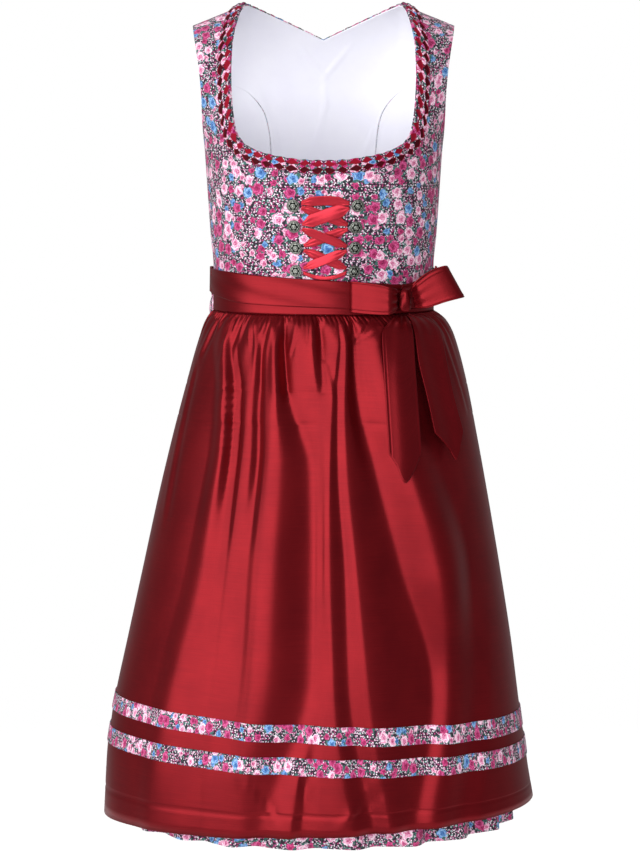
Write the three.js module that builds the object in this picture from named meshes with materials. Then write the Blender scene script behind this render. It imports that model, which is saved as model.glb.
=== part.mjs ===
// A dirndl: a bodice with a square neckline, frog-mouth trim, ribbon lacing between filigree buttons, a gathered
// skirt, and a taffeta apron with two printed bands and a waist tie knotted in a bow. It stands hollow, as worn.
// Millimetres. +X is the wearer's left, -Y the front, +Z up. The origin lies midway between the shoulder straps,
// at the height of the shoulder seams.
import * as THREE from "three";

// ---- driving dimensions ----
const CLOTH = 1.2; // thickness of the printed cotton and of the taffeta
const THIN = 1; // thickness of the lining, the bands and the ribbon
const SEAM = 0.3; // gap between two pieces that are sewn together or lie on each other
const WAIST_Z = -330; // where the bodice is sewn to the skirt
const BELT_THICK = 2.2; // the stiffened waistband of the apron
const BELT_LOW = -351; // its lower edge, where the gathers start
const TIE_THICK = 1.6; // the tie over it, two layers of taffeta
const BELT_REACH = 77; // angle to which the waistband runs round each side
const TIE_REACH = 80; // angle at which the tie in front meets the tie round the back
const SHOULDER_REACH = 110; // how far below the shoulder line the cloth turns upright
const SHOULDER = { neckX: 91, neckZ: 8.4, trimX: 106, tipX: 154, tipZ: -17 }; // the seam's ends, the trim's edge
const BUST = { x: 62, z: -205, spreadX: 42, spreadZ: 50, out: 7 }; // how far the bust stands out
// The frog-mouth trim: it lies clear of the cloth by foot, stands proud of the front neckline by a share of its
// width and stays low by a share below the back one;
// each mouth is long by high, drawn in a few columns, and closes to a share of its height at the trim's edges.
const TRIM = { foot: 0.9, proud: 0.12, low: 0.06, middle: 0.48, thick: 1.2, long: 16, high: 2.4, columns: 3, closed: 0.35 };
// The lacing: half width at an eye, the length over which it widens, where two stretches part, height off the cloth.
const RIBBON = { end: 2, ease: 12, part: 2.5, clear: 0.4, steps: 8 };
const BUTTON_STEPS = 12; // sides of a filigree button
const GATHERS = 20; // small gathers along the apron's top edge
const APRON_COLUMNS = 80;
const FRONT_FOLDS = 10; // folds in the skirt's front, under the apron
const BACK_FOLDS = 13; // folds in the skirt's back
const UNEVEN = { lean: 0.12, least: 0.8, turns: 3.7 }; // how the skirt's folds lean and differ in depth
const TAIL_FOLD = { top: -350, over: 60 }; // where the soft fold along a bow's tail starts, and its run-in
const BAND_STEP = 4; // degrees between two columns of a band round the waist
const FOLD_STEPS = 4; // columns for each of those folds

// ---- sections, from low to high: half width, depth to the front and to the back ----
const torso = [
  { z: -330, width: 131, front: 104, back: 92 },
  { z: -300, width: 130.5, front: 105, back: 91 },
  { z: -262, width: 133.8, front: 111, back: 95 },
  { z: -219, width: 136.6, front: 120, back: 103 },
  { z: -177, width: 139.3, front: 125, back: 110 },
  { z: -150, width: 141.5, front: 123, back: 113 },
  { z: -125, width: 150, front: 119, back: 114 },
  { z: -95, width: 164, front: 111, back: 113 },
  { z: -60, width: 180, front: 101, back: 109 },
  { z: -12, width: 196, front: 90, back: 101 },
  { z: 20, width: 200, front: 84, back: 95 },
];
// shift is how far the section's centre lies towards the wearer's left; fold is the depth of the folds.
const skirtForm = [
  { z: -968, width: 224, front: 161, back: 205, shift: -5, fold: 13 },
  { z: -830, width: 213, front: 153, back: 195, shift: -5, fold: 12 },
  { z: -696, width: 198, front: 143, back: 181, shift: -2.4, fold: 10 },
  { z: -560, width: 176, front: 130, back: 161, shift: 1, fold: 8 },
  { z: -440, width: 152, front: 113, back: 136, shift: 4, fold: 5.5 },
  { z: -380, width: 138, front: 105.5, back: 114, shift: 3, fold: 3 },
  { z: -352.5, width: 131, front: 104, back: 92, shift: 0, fold: 0 },
  { z: -330, width: 131, front: 104, back: 92, shift: 0, fold: 0 },
];
// tilt is the rise of the row for each millimetre towards the wearer's left; reach is the angle to which the
// apron runs round each side; gather is the depth of the small gathers; fold scales the soft folds.
const apronForm = [
  { z: -950, tilt: 0.036, width: 258, front: 180, shift: -5, reach: 97, gather: 0, fold: 1 },
  { z: -879.5, tilt: -0.033, width: 250.6, front: 177, shift: -6.6, reach: 96, gather: 0, fold: 1 },
  { z: -859, tilt: -0.031, width: 247.5, front: 176, shift: -6.5, reach: 96, gather: 0, fold: 1 },
  { z: -842, tilt: -0.045, width: 244.7, front: 175, shift: -6.3, reach: 95.5, gather: 0, fold: 1 },
  { z: -821, tilt: -0.039, width: 241.1, front: 173.5, shift: -6, reach: 95.5, gather: 0, fold: 1 },
  { z: -740, tilt: -0.02, width: 226.8, front: 166.5, shift: -3.4, reach: 94.5, gather: 0, fold: 1 },
  { z: -660, tilt: -0.01, width: 211.5, front: 157.5, shift: -1.6, reach: 93, gather: 0, fold: 1 },
  { z: -579, tilt: 0, width: 195.7, front: 147.5, shift: 0, reach: 91, gather: 0, fold: 1 },
  { z: -500, tilt: 0, width: 178.9, front: 136, shift: 2.3, reach: 89, gather: 0, fold: 1 },
  { z: -430, tilt: 0, width: 162.9, front: 125.5, shift: 4.4, reach: 86, gather: 0, fold: 1 },
  { z: -385, tilt: 0, width: 150.7, front: 117, shift: 4.8, reach: 83, gather: 0.4, fold: 0.95 },
  { z: -363, tilt: 0, width: 142.5, front: 112, shift: 3.4, reach: 79.5, gather: 1, fold: 0.6 },
  { z: -351.3, tilt: 0, width: 133, front: 106, shift: 0, reach: 77, gather: 0.5, fold: 0.1 },
];
const bandRows = { apron_band_lower: [1, 2], apron_band_upper: [3, 4] }; // rows between which each band lies
// The apron's soft folds, as the lines of their crests and hollows from the wearer's right to left: each line's
// angle from the centre front, in degrees, and its height above the fan, at six levels.
const foldLevels = [-940, -767, -640, -521, -440, -385];
const foldLines = [
  { angle: [-99, -99, -99, -99, -99, -99], height: [0, 0, 0, 0, 0, 0] },
  { angle: [-74, -74, -73, -73, -74, -75], height: [5, 5, 5, 5, 4, 3] },
  { angle: [-57.5, -53.5, -49.5, -48.5, -53, -63], height: [2, 2, 2, 1, 1, 1] },
  { angle: [-49.5, -44.5, -40, -38.5, -44, -50.5], height: [4, 5, 6, 8, 7, 6] },
  { angle: [-33, -33, -32.5, -33.5, -38.5, -48], height: [2.5, 2, 3, -2, -3, 1] },
  { angle: [-28.5, -28, -27.5, -27.5, -31, -30], height: [4, 3, 5, 6, 6, 5] },
  { angle: [-26, -23, -23, -23.5, -27, -28.5], height: [4.3, 6, 8, -1, 0, 2] },
  { angle: [-21, -17.5, -17.5, -18, -20, -23], height: [6, 13, 14, 10, 9, 6] },
  { angle: [-15, -2.5, -3, -5, -16.5, -20], height: [-1, -5, -5, -5, -5, -4] },
  { angle: [-7.5, -1, -1.5, -2.5, -11, -13.5], height: [5, -3, -2, -2, -1, 3] },
  { angle: [-4.5, 0.5, 0, -1, -5, -7], height: [-1, -0.5, 1, 1, 2.5, 6] },
  { angle: [0, 2, 1, 0.5, -2.5, -3], height: [4, 2, 4, 4, 3, -2] },
  { angle: [8, 3.5, 2, 1.5, 2, 4.5], height: [7, 4, 5, 5, 6, 6] },
  { angle: [14, 8, 7, 4.5, 4, 5.5], height: [-2, 0, 0, 1, 4, 5] },
  { angle: [18.5, 13.5, 10.5, 7.5, 6.5, 7.5], height: [5, 7, 6, 4, 6, 6] },
  { angle: [25, 33.5, 25, 17.5, 12, 11.5], height: [-2, -4, -5, -5, -5, -4] },
  { angle: [31.5, 40, 38.5, 30, 24, 22.5], height: [6, 8, 22, 18, 13, 8] },
  { angle: [40.5, 51, 54.5, 44.5, 35.5, 33.5], height: [0, 3, 5, 7, 5, 2] },
  { angle: [47, 59, 64.5, 58, 47.5, 43.5], height: [4, 5, 5, 6, 6, 5] },
  { angle: [99, 99, 99, 99, 99, 99], height: [0, 0, 0, 0, 0, 0] },
];

// ---- the bodice's edges, on the wearer's left; the right side mirrors them ----
const sideRows = 6; // steps up the side seam, from the waist to the underarm
const UNDERARM_Z = -150;
// neck is the front neckline, trim the edge of the trim below or beside it, arm the armhole.
const frontNeck = [
  { neckX: 0, neckZ: -172.5, trimX: 0, trimZ: -187.5 },
  { neckX: 25, neckZ: -171.5, trimX: 25.5, trimZ: -186.5 },
  { neckX: 48, neckZ: -168.5, trimX: 49.5, trimZ: -183.5 },
  { neckX: 72, neckZ: -163, trimX: 75.5, trimZ: -177.5 },
  { neckX: 92, neckZ: -153.5, trimX: 101, trimZ: -165.5 },
];
const strap = [
  { neckX: 101, neckZ: -138.5, trimX: 115, trimZ: -144.5, armX: 141.8, armZ: -128 },
  { neckX: 105.5, neckZ: -108, trimX: 120.3, trimZ: -110, armX: 142.2, armZ: -102 },
  { neckX: 107, neckZ: -73, trimX: 122, trimZ: -73, armX: 144.5, armZ: -73 },
  { neckX: 106, neckZ: -42, trimX: 121, trimZ: -42.5, armX: 148.5, armZ: -46.5 },
  { neckX: 101, neckZ: -13, trimX: 116, trimZ: -18.5, armX: 151.8, armZ: -29 },
  { neckX: 96, neckZ: 2, trimX: 111, trimZ: -3.5, armX: 153.4, armZ: -20 },
];
const STRAP_SHARES = [0.3, 0.58, 0.82, 1]; // columns between the trim's edge and the armhole
// The back's curved seam above the waist, then the armhole's edge above it; mid is the centre back.
const backSeam = [
  { seamX: 42, seamZ: -330, midZ: -330 },
  { seamX: 47, seamZ: -300, midZ: -300 },
  { seamX: 52, seamZ: -270, midZ: -270 },
  { seamX: 57, seamZ: -240, midZ: -240 },
  { seamX: 61, seamZ: -210, midZ: -210 },
  { seamX: 64, seamZ: -180, midZ: -180 },
  { seamX: 66, seamZ: -150, midZ: -150 },
  { seamX: 72, seamZ: -122, midZ: -121 },
  { seamX: 94, seamZ: -94, midZ: -94 },
  { seamX: 144.5, seamZ: -73, midZ: -75 },
];
const backArm = [
  { armX: 141.8, armZ: -128 },
  { armX: 142.2, armZ: -102 },
  { armX: 144.5, armZ: -73 },
];
const backTop = [
  { midZ: -65.5, armX: 148.5, armZ: -46.5, rise: 0.35 },
  { midZ: -56.5, armX: 151.8, armZ: -29, rise: 0.68 },
  { midZ: -51, armX: 153.3, armZ: -21.3, rise: 0.88 },
];
const backNeck = [
  { neckX: 0, neckZ: -31.5, trimX: 0, trimZ: -46.5 },
  { neckX: 30, neckZ: -17.5, trimX: 34, trimZ: -32.5 },
  { neckX: 60, neckZ: -4, trimX: 66, trimZ: -18.5 },
  { neckX: 80, neckZ: 4.6, trimX: 89, trimZ: -8.4 },
  { neckX: 87.5, neckZ: 7.4, trimX: 100, trimZ: -1.8 },
];
const SIDE_BACK_SHARES = [0, 0.4, 0.7, 0.9, 1];

// ---- the lacing: buttons in four rows, and the ribbon from eye to eye ----
const buttons = {
  button_right_1: { x: -35, z: -224, radius: 7.5, lift: 0.8 },
  button_right_2: { x: -34, z: -248, radius: 7.5, lift: 1.0 },
  button_right_3: { x: -32, z: -273, radius: 7.5, lift: 1.0 },
  button_right_4: { x: -32, z: -300, radius: 7, lift: 1.25 },
  button_left_1: { x: 39, z: -224, radius: 7.5, lift: 0.8 },
  button_left_2: { x: 37, z: -249, radius: 7.5, lift: 1.0 },
  button_left_3: { x: 36, z: -273, radius: 7.5, lift: 1.0 },
  button_left_4: { x: 35, z: -300.5, radius: 7, lift: 1.25 },
};
// Each stretch runs from the wearer's right to their left; up is the end's offset above or below the eye, sag how
// far its middle bows, level the layer that it lies in.
const lacing = {
  lacing_bar_top: { x0: -25.5, z0: -223, up0: 1, x1: 29.5, z1: -223.5, up1: 1, sag: 3, level: 0, half: 5.6 },
  lacing_cross_1_under: { x0: -25.5, z0: -223, up0: -1, x1: 27.5, z1: -248, up1: 1, sag: 0, level: 0, half: 5.2 },
  lacing_cross_1_over: { x0: -24.5, z0: -247.5, up0: 1, x1: 29.5, z1: -223.5, up1: -1, sag: 1, level: 1, half: 7.4 },
  lacing_cross_2_under: { x0: -22.5, z0: -272.5, up0: 1, x1: 27.5, z1: -248, up1: -1, sag: 0, level: 0, half: 5.2 },
  lacing_cross_2_over: { x0: -24.5, z0: -247.5, up0: -1, x1: 26.5, z1: -273, up1: 1, sag: 0, level: 1, half: 5.2 },
  lacing_cross_3_under: { x0: -22.5, z0: -272.5, up0: -1, x1: 26, z1: -299, up1: 1, sag: 0, level: 0, half: 5.2 },
  lacing_cross_3_over: { x0: -23, z0: -299, up0: 1, x1: 26.5, z1: -273, up1: -1, sag: 0, level: 1, half: 5.2 },
  lacing_bar_bottom: { x0: -23, z0: -299, up0: -1, x1: 26, z1: -299, up1: -1, sag: -7, level: 0, half: 2.2 },
};

// ---- waistband, ties and bow ----
// Upper edge of the waistband and both edges of the tie over it, across the front from the wearer's right.
const waistEdges = [
  { x: -140, belt: -303, tieTop: -301, tieLow: -328 },
  { x: -121, belt: -304.5, tieTop: -302.5, tieLow: -333.5 },
  { x: -90, belt: -307, tieTop: -305, tieLow: -339.5 },
  { x: 0, belt: -312.5, tieTop: -310.5, tieLow: -342.5 },
  { x: 60, belt: -316, tieTop: -314.5, tieLow: -345 },
  { x: 94, belt: -317, tieTop: -318, tieLow: -346 },
  { x: 118, belt: -310, tieTop: -308, tieLow: -345 },
  { x: 140, belt: -301, tieTop: -299, tieLow: -343 },
];
// Across the back the two ties lie one above the other, each folded narrow. lift is the distance of a tie's
// inside from the cloth below; the angle runs from the centre front round the wearer's left side.
const tieRight = [
  { angle: 80.3, low: -345, top: -303, lift: 1.15 },
  { angle: 92, low: -343, top: -303, lift: 1.15 },
  { angle: 104, low: -326, top: -303, lift: 1.15 },
  { angle: 180, low: -325, top: -303, lift: 1.15 },
  { angle: 248, low: -325, top: -303, lift: 1.15 },
  { angle: 256, low: -327, top: -302, lift: 3.05 },
  { angle: 264, low: -329, top: -301, lift: 3.4 },
  { angle: 280, low: -330, top: -301, lift: 3.4 },
];
const tieLeft = [
  { angle: 279.7, low: -330, top: -303, lift: 1.15 },
  { angle: 270, low: -334, top: -309, lift: 1.15 },
  { angle: 258, low: -345, top: -328.5, lift: 1.15 },
  { angle: 180, low: -347, top: -327, lift: 1.15 },
  { angle: 112, low: -346, top: -328, lift: 1.15 },
  { angle: 103, low: -345, top: -327.5, lift: 3.05 },
  { angle: 94, low: -343, top: -303, lift: 3.4 },
  { angle: 80, low: -343, top: -299, lift: 3.4 },
];
const KNOT = { x: 88, z: -335.5, lift: 5.3, wide: 8, deep: 6.5, tall: 16 };
// Each loop runs out from the knot on the inside and back on the outside; lean tips its far end.
const loops = {
  bow_loop_right: [
    { x: 84.8, y: -88.4, z: -334, half: 12, lean: 0 },
    { x: 72, y: -94.9, z: -333.5, half: 14.5, lean: 0 },
    { x: 58, y: -100.8, z: -332, half: 16, lean: 0 },
    { x: 42, y: -105.6, z: -330.5, half: 17, lean: 0 },
    { x: 35, y: -108.1, z: -330, half: 18, lean: 0 },
    { x: 32, y: -111.8, z: -329.5, half: 18, lean: 0 },
    { x: 34.5, y: -115.6, z: -329.5, half: 18, lean: 0 },
    { x: 46, y: -118.5, z: -330.5, half: 18, lean: 0 },
    { x: 62, y: -119.5, z: -332, half: 17.5, lean: 0 },
    { x: 75, y: -113.5, z: -333.5, half: 16, lean: 0 },
    { x: 84.3, y: -97, z: -334, half: 13, lean: 0 },
  ],
  bow_loop_left: [
    { x: 103.6, y: -82.5, z: -332, half: 10, lean: 2 },
    { x: 111, y: -85.5, z: -329, half: 14, lean: 6 },
    { x: 126.5, y: -86, z: -321, half: 16.5, lean: 9 },
    { x: 142.5, y: -85.5, z: -315, half: 18, lean: 10 },
    { x: 150.5, y: -86, z: -313, half: 18, lean: 10 },
    { x: 153, y: -91, z: -313, half: 18, lean: 10 },
    { x: 147.5, y: -96.5, z: -314, half: 18, lean: 10 },
    { x: 132.5, y: -102, z: -319, half: 17, lean: 9 },
    { x: 115, y: -102, z: -328, half: 14.5, lean: 6 },
    { x: 104.6, y: -91.5, z: -332.5, half: 11, lean: 2 },
  ],
};
// Each tail hangs from the knot: its edges at five heights, and the three corners of its pointed end.
const tails = {
  bow_tail_right: {
    rows: [
      { z: -352, left: 85, right: 94.6 },
      { z: -358, left: 77, right: 98.5 },
      { z: -372, left: 67.5, right: 103.5 },
      { z: -405, left: 69, right: 105.5 },
      { z: -440, left: 71, right: 108 },
    ],
    end: [-507, -522, -541, -529, -507],
    endLeft: 75,
    endRight: 113,
    fold: 3,
  },
  bow_tail_left: {
    rows: [
      { z: -352, left: 95.2, right: 105 },
      { z: -358, left: 101, right: 122 },
      { z: -372, left: 105.5, right: 136 },
      { z: -405, left: 110, right: 143.5 },
      { z: -440, left: 118.5, right: 150.5 },
    ],
    end: [-487, -496, -507, -520, -488],
    endLeft: 129,
    endRight: 163,
    fold: -3,
  },
};
// How far the tails hang from the apron's form.
const tailClear = [
  { z: -530, lift: 24 },
  { z: -440, lift: 19.5 },
  { z: -390, lift: 14.5 },
  { z: -372, lift: 11 },
  { z: -358, lift: 6 },
  { z: -352, lift: 3.5 },
];

// ---- cloth and metal ----
const materials = {
  print: { color: 0x6b3a55, roughness: 0.9, metalness: 0 },
  lining: { color: 0xeeecf6, roughness: 0.9, metalness: 0 },
  trim: { color: 0x7d1f3c, roughness: 0.85, metalness: 0 },
  taffeta: { color: 0x8c1a25, roughness: 0.42, metalness: 0 },
  satin: { color: 0xb81f33, roughness: 0.3, metalness: 0 },
  silver: { color: 0x8f8b88, roughness: 0.4, metalness: 1 },
};

// ---- small helpers ----
const point = (x, y, z) => new THREE.Vector3(x, y, z);
const { clamp, degToRad, radToDeg } = THREE.MathUtils;
const mix = (a, b, t) => a + (b - a) * t;
const ease = (t) => {
  const s = clamp(t, 0, 1);
  return s * s * (3 - 2 * s);
};
const steps = (count) => [...Array(count + 1).keys()]; // 0 to count
const mirror = (rows) => rows.map((row) => row.map((p) => point(-p.x, p.y, p.z)).reverse());
const across = (rows) => mirror(rows).map((row, j) => [...row.slice(0, -1), ...rows[j]]);

// A smooth curve through values at ascending places, without overshoot, read at one place.
function through(places, values, place) {
  const last = places.length - 1;
  const at = clamp(place, places[0], places[last]);
  let i = 0;
  while (i < last - 1 && at > places[i + 1]) i += 1;
  const slope = (k) => (values[k + 1] - values[k]) / (places[k + 1] - places[k]);
  const tangent = (k) => {
    const [before, after] = [slope(Math.max(k - 1, 0)), slope(Math.min(k, last - 1))];
    return before * after > 0 ? (2 * before * after) / (before + after) : 0;
  };
  const span = places[i + 1] - places[i];
  const t = (at - places[i]) / span;
  return (
    (1 + 2 * t) * (1 - t) ** 2 * values[i] +
    t * (1 - t) ** 2 * span * tangent(i) +
    t * t * (3 - 2 * t) * values[i + 1] +
    t * t * (t - 1) * span * tangent(i + 1)
  );
}
const read = (table, column, place, by = "z") =>
  through(table.map((row) => row[by]), table.map((row) => row[column]), place);

// ---- cloth: a sheet of points becomes a closed wall ----
const keyOf = (p) => `${Math.round(p.x * 500)},${Math.round(p.y * 500)},${Math.round(p.z * 500)}`;

// Joins grids of points (rows going up, points anticlockwise seen from above) into one sheet, each cell split
// along its shorter diagonal.
function sheetOf(grids) {
  const points = [];
  const faces = [];
  const seen = new Map();
  const index = (p) => {
    const key = keyOf(p);
    if (!seen.has(key)) seen.set(key, points.push(p.clone()) - 1);
    return seen.get(key);
  };
  const face = (a, b, c) => {
    if (a !== b && b !== c && c !== a) faces.push([a, b, c]);
  };
  for (const rows of grids) {
    for (let j = 0; j + 1 < rows.length; j += 1) {
      const low = rows[j].map(index);
      const high = rows[j + 1].map(index);
      for (let i = 0; i + 1 < low.length; i += 1) {
        const [a, b, c, d] = [low[i], low[i + 1], high[i + 1], high[i]];
        if (points[a].distanceTo(points[c]) <= points[b].distanceTo(points[d])) {
          face(a, b, c);
          face(a, c, d);
        } else {
          face(a, b, d);
          face(b, c, d);
        }
      }
    }
  }
  return { points, faces };
}

// The outward normal of a sheet at each of its points, found again by place.
function normalsOf(sheet) {
  const sums = sheet.points.map(() => point(0, 0, 0));
  for (const [a, b, c] of sheet.faces) {
    const [pa, pb, pc] = [a, b, c].map((i) => sheet.points[i]);
    const n = pb.clone().sub(pa).cross(pc.clone().sub(pa));
    for (const i of [a, b, c]) sums[i].add(n);
  }
  return new Map(sheet.points.map((p, i) => [keyOf(p), sums[i].normalize()]));
}

// Edges that belong to one face only, in that face's direction.
function borderOf(sheet) {
  const uses = new Map();
  for (const [a, b, c] of sheet.faces) {
    for (const [i, j] of [[a, b], [b, c], [c, a]]) {
      const key = i < j ? `${i},${j}` : `${j},${i}`;
      uses.set(key, uses.has(key) ? null : [i, j]);
    }
  }
  return [...uses.values()].filter(Boolean);
}

function solidOf(triangles) {
  const geometry = new THREE.BufferGeometry().setFromPoints(triangles.flat());
  geometry.computeVertexNormals();
  return geometry;
}

// A closed wall between two distances from a sheet, its border drawn in by half a seam. Pieces that meet share
// one set of normals, so that they stay parallel along the seam.
function wall(grids, { outer = CLOTH / 2, inner = -CLOTH / 2, normals } = {}) {
  const sheet = sheetOf(grids);
  const field = normals ?? normalsOf(sheet);
  const border = borderOf(sheet);
  const normalAt = sheet.points.map((p) => field.get(keyOf(p)));
  const inward = sheet.points.map(() => point(0, 0, 0));
  for (const [i, j] of border) {
    const along = sheet.points[j].clone().sub(sheet.points[i]);
    for (const k of [i, j]) inward[k].add(normalAt[k].clone().cross(along).normalize());
  }
  const place = (distance) => (p, i) => {
    const drawn = inward[i].length() > 0 ? inward[i].clone().setLength(SEAM / 2) : point(0, 0, 0);
    return drawn.add(p).addScaledVector(normalAt[i], distance);
  };
  const outerPoints = sheet.points.map(place(outer));
  const innerPoints = sheet.points.map(place(inner));
  const triangles = [];
  for (const [a, b, c] of sheet.faces) {
    triangles.push([outerPoints[a], outerPoints[b], outerPoints[c]]);
    triangles.push([innerPoints[c], innerPoints[b], innerPoints[a]]);
  }
  for (const [i, j] of border) {
    triangles.push([outerPoints[j], outerPoints[i], innerPoints[i]]);
    triangles.push([outerPoints[j], innerPoints[i], innerPoints[j]]);
  }
  return solidOf(triangles);
}

// A closed slab between two grids of the same size, the second lying outside the first.
function slab(inner, outer) {
  const triangles = [];
  const quad = (a, b, c, d) => triangles.push([a, b, c], [a, c, d]);
  const [rows, columns] = [inner.length - 1, inner[0].length - 1];
  for (let j = 0; j < rows; j += 1) {
    for (let i = 0; i < columns; i += 1) {
      quad(outer[j][i], outer[j][i + 1], outer[j + 1][i + 1], outer[j + 1][i]);
      quad(inner[j][i], inner[j + 1][i], inner[j + 1][i + 1], inner[j][i + 1]);
    }
  }
  for (let i = 0; i < columns; i += 1) {
    quad(outer[0][i], inner[0][i], inner[0][i + 1], outer[0][i + 1]);
    quad(outer[rows][i], outer[rows][i + 1], inner[rows][i + 1], inner[rows][i]);
  }
  for (let j = 0; j < rows; j += 1) {
    quad(outer[j][0], outer[j + 1][0], inner[j + 1][0], inner[j][0]);
    quad(outer[j][columns], inner[j][columns], inner[j + 1][columns], outer[j + 1][columns]);
  }
  return solidOf(triangles);
}

// ---- the torso's form ----
const shoulderZ = (x) =>
  mix(SHOULDER.neckZ, SHOULDER.tipZ, Math.max((Math.abs(x) - SHOULDER.neckX) / (SHOULDER.tipX - SHOULDER.neckX), 0));

// How far the cloth stands out at (x, z): an oval section that rounds over to nothing at the shoulder line.
function standOut(x, z, side) {
  const below = clamp((shoulderZ(x) - z) / SHOULDER_REACH, 0, 1);
  const turn = Math.sqrt(Math.max(1 - (1 - below) ** 2, 0));
  const share = Math.min(Math.abs(x) / read(torso, "width", z), 1);
  const oval = read(torso, side, z) * Math.sqrt(1 - share * share) * turn;
  if (side === "back") return oval;
  const bust = Math.exp(-(((Math.abs(x) - BUST.x) / BUST.spreadX) ** 2) - ((z - BUST.z) / BUST.spreadZ) ** 2);
  return oval + BUST.out * bust * Math.sqrt(1 - share * share);
}
const onFront = (x, z) => point(x, -standOut(x, z, "front"), z);
const onBack = (x, z) => point(x, standOut(x, z, "back"), z);
function frontNormal(x, z) {
  const dx = onFront(x + 1, z).sub(onFront(x - 1, z));
  const dz = onFront(x, z + 1).sub(onFront(x, z - 1));
  return dx.cross(dz).normalize();
}

// ---- bodice ----
const shoulderRow = [SHOULDER.neckX, ...[0, ...STRAP_SHARES].map((t) => mix(SHOULDER.trimX, SHOULDER.tipX, t))]
  .map((x) => ({ x, z: shoulderZ(x) }));
const strapRow = (row) => [
  { x: row.neckX, z: row.neckZ },
  ...[0, ...STRAP_SHARES].map((t) => ({ x: mix(row.trimX, row.armX, t), z: mix(row.trimZ, row.armZ, t) })),
];
const cornerRow = { ...frontNeck[4], armX: read(torso, "width", UNDERARM_Z), armZ: UNDERARM_Z };
const place = (on, rows) => rows.map((row) => row.map((p) => on(p.x, p.z)));

function frontGrids() {
  const shelf = [...frontNeck.slice(0, 4).map((p) => ({ x: p.trimX, z: p.trimZ })), ...strapRow(cornerRow).slice(1)];
  const shares = shelf.map((p) => p.x / read(torso, "width", p.z));
  const body = steps(sideRows).map((j) =>
    shelf.map((p, i) => {
      const z = mix(WAIST_Z, p.z, j / sideRows);
      return { x: j === sideRows ? p.x : shares[i] * read(torso, "width", z), z };
    }));
  const neck = [frontNeck.map((p) => ({ x: p.trimX, z: p.trimZ })), frontNeck.map((p) => ({ x: p.neckX, z: p.neckZ }))];
  const straps = [strapRow(cornerRow), ...strap.map(strapRow), shoulderRow];
  return [body, neck, straps].map((rows) => place(onFront, rows));
}

const trimEnd = { ...SHOULDER, trimZ: shoulderZ(SHOULDER.trimX) };
const backTrim = [...backNeck, trimEnd];
const backShelf = [...backTrim.map((p) => ({ x: p.trimX, z: p.trimZ })), ...shoulderRow.slice(2)];

function backCentreGrids() {
  const shares = backShelf.map((p) => p.x / SHOULDER.tipX);
  const rowTo = (edgeX, edgeZ, midZ, rise = 0) =>
    backShelf.map((p, i) => {
      const flat = mix(midZ, edgeZ, shares[i]);
      const top = p.z - mix(backShelf[0].z, SHOULDER.tipZ, shares[i]);
      return { x: edgeX * shares[i], z: flat + top * rise };
    });
  const rows = [
    ...backSeam.map((p) => rowTo(p.seamX, p.seamZ, p.midZ)),
    ...backTop.map((p) => rowTo(p.armX, p.armZ, p.midZ, p.rise)),
    backShelf,
  ];
  const neck = [backTrim.map((p) => ({ x: p.trimX, z: p.trimZ })), backTrim.map((p) => ({ x: p.neckX, z: p.neckZ }))];
  return [rows, neck].map((part) => across(place(onBack, part)).map((row) => row.reverse()));
}

function backSideGrid() {
  const rows = backSeam.map((seam, j) => {
    const z = mix(WAIST_Z, UNDERARM_Z, j / sideRows);
    const edge = j <= sideRows ? { armX: read(torso, "width", z), armZ: z } : backArm[j - sideRows - 1];
    return SIDE_BACK_SHARES.map((t) => ({ x: mix(seam.seamX, edge.armX, t), z: mix(seam.seamZ, edge.armZ, t) }));
  });
  return place(onBack, rows).map((row) => row.reverse());
}

const leftFront = frontGrids();
const rightFront = leftFront.map(mirror);
const backCentre = backCentreGrids();
const leftBack = [backSideGrid()];
const rightBack = leftBack.map(mirror);
const bodiceNormals = normalsOf(sheetOf([...leftFront, ...rightFront, ...backCentre, ...leftBack, ...rightBack]));

// ---- frog-mouth trim along the neckline: it follows the panel's own facets, moved out ----
const mouthHeight = (phase, t) =>
  TRIM.high * Math.abs(Math.sin(Math.PI * phase)) * (t === TRIM.middle ? 1 : TRIM.closed);
function trimAlong(on, line, proud) {
  const corners = line.map((p) => [on(p.neckX, p.neckZ), on(p.trimX, p.trimZ)]);
  const lift = CLOTH / 2 + SEAM + TRIM.foot;
  const lifted = (corner) => corner.map((p) => {
    const normal = bodiceNormals.get(keyOf(p)).clone();
    return { foot: p.clone().addScaledVector(normal, lift), normal };
  });
  const stops = corners.map(lifted);
  const columns = [];
  for (let k = 0; k + 1 < stops.length; k += 1) {
    const length = corners[k][0].distanceTo(corners[k + 1][0]);
    const count = Math.max(Math.round((TRIM.columns * length) / TRIM.long), 1);
    for (let i = k === 0 ? 0 : 1; i <= count; i += 1) {
      columns.push([0, 1].map((side) => ({
        foot: stops[k][side].foot.clone().lerp(stops[k + 1][side].foot, i / count),
        normal: stops[k][side].normal.clone().lerp(stops[k + 1][side].normal, i / count),
      })));
    }
  }
  const drawIn = (list, from, to) => {
    for (const side of [0, 1]) {
      const span = list[to][side].foot.clone().sub(list[from][side].foot);
      list[from][side].foot.addScaledVector(span.normalize(), SEAM / 2);
    }
  };
  drawIn(columns, 0, 1);
  drawIn(columns, columns.length - 1, columns.length - 2);
  const at = (height) => [-proud, TRIM.middle, 1].map((t) => columns.map(([neck, edge], i) =>
    neck.foot.clone().lerp(edge.foot, t)
      .addScaledVector(neck.normal.clone().lerp(edge.normal, t).normalize(), height(i / TRIM.columns, t))));
  return [at(() => 0), at((phase, t) => TRIM.thick + mouthHeight(phase, t))];
}

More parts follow.
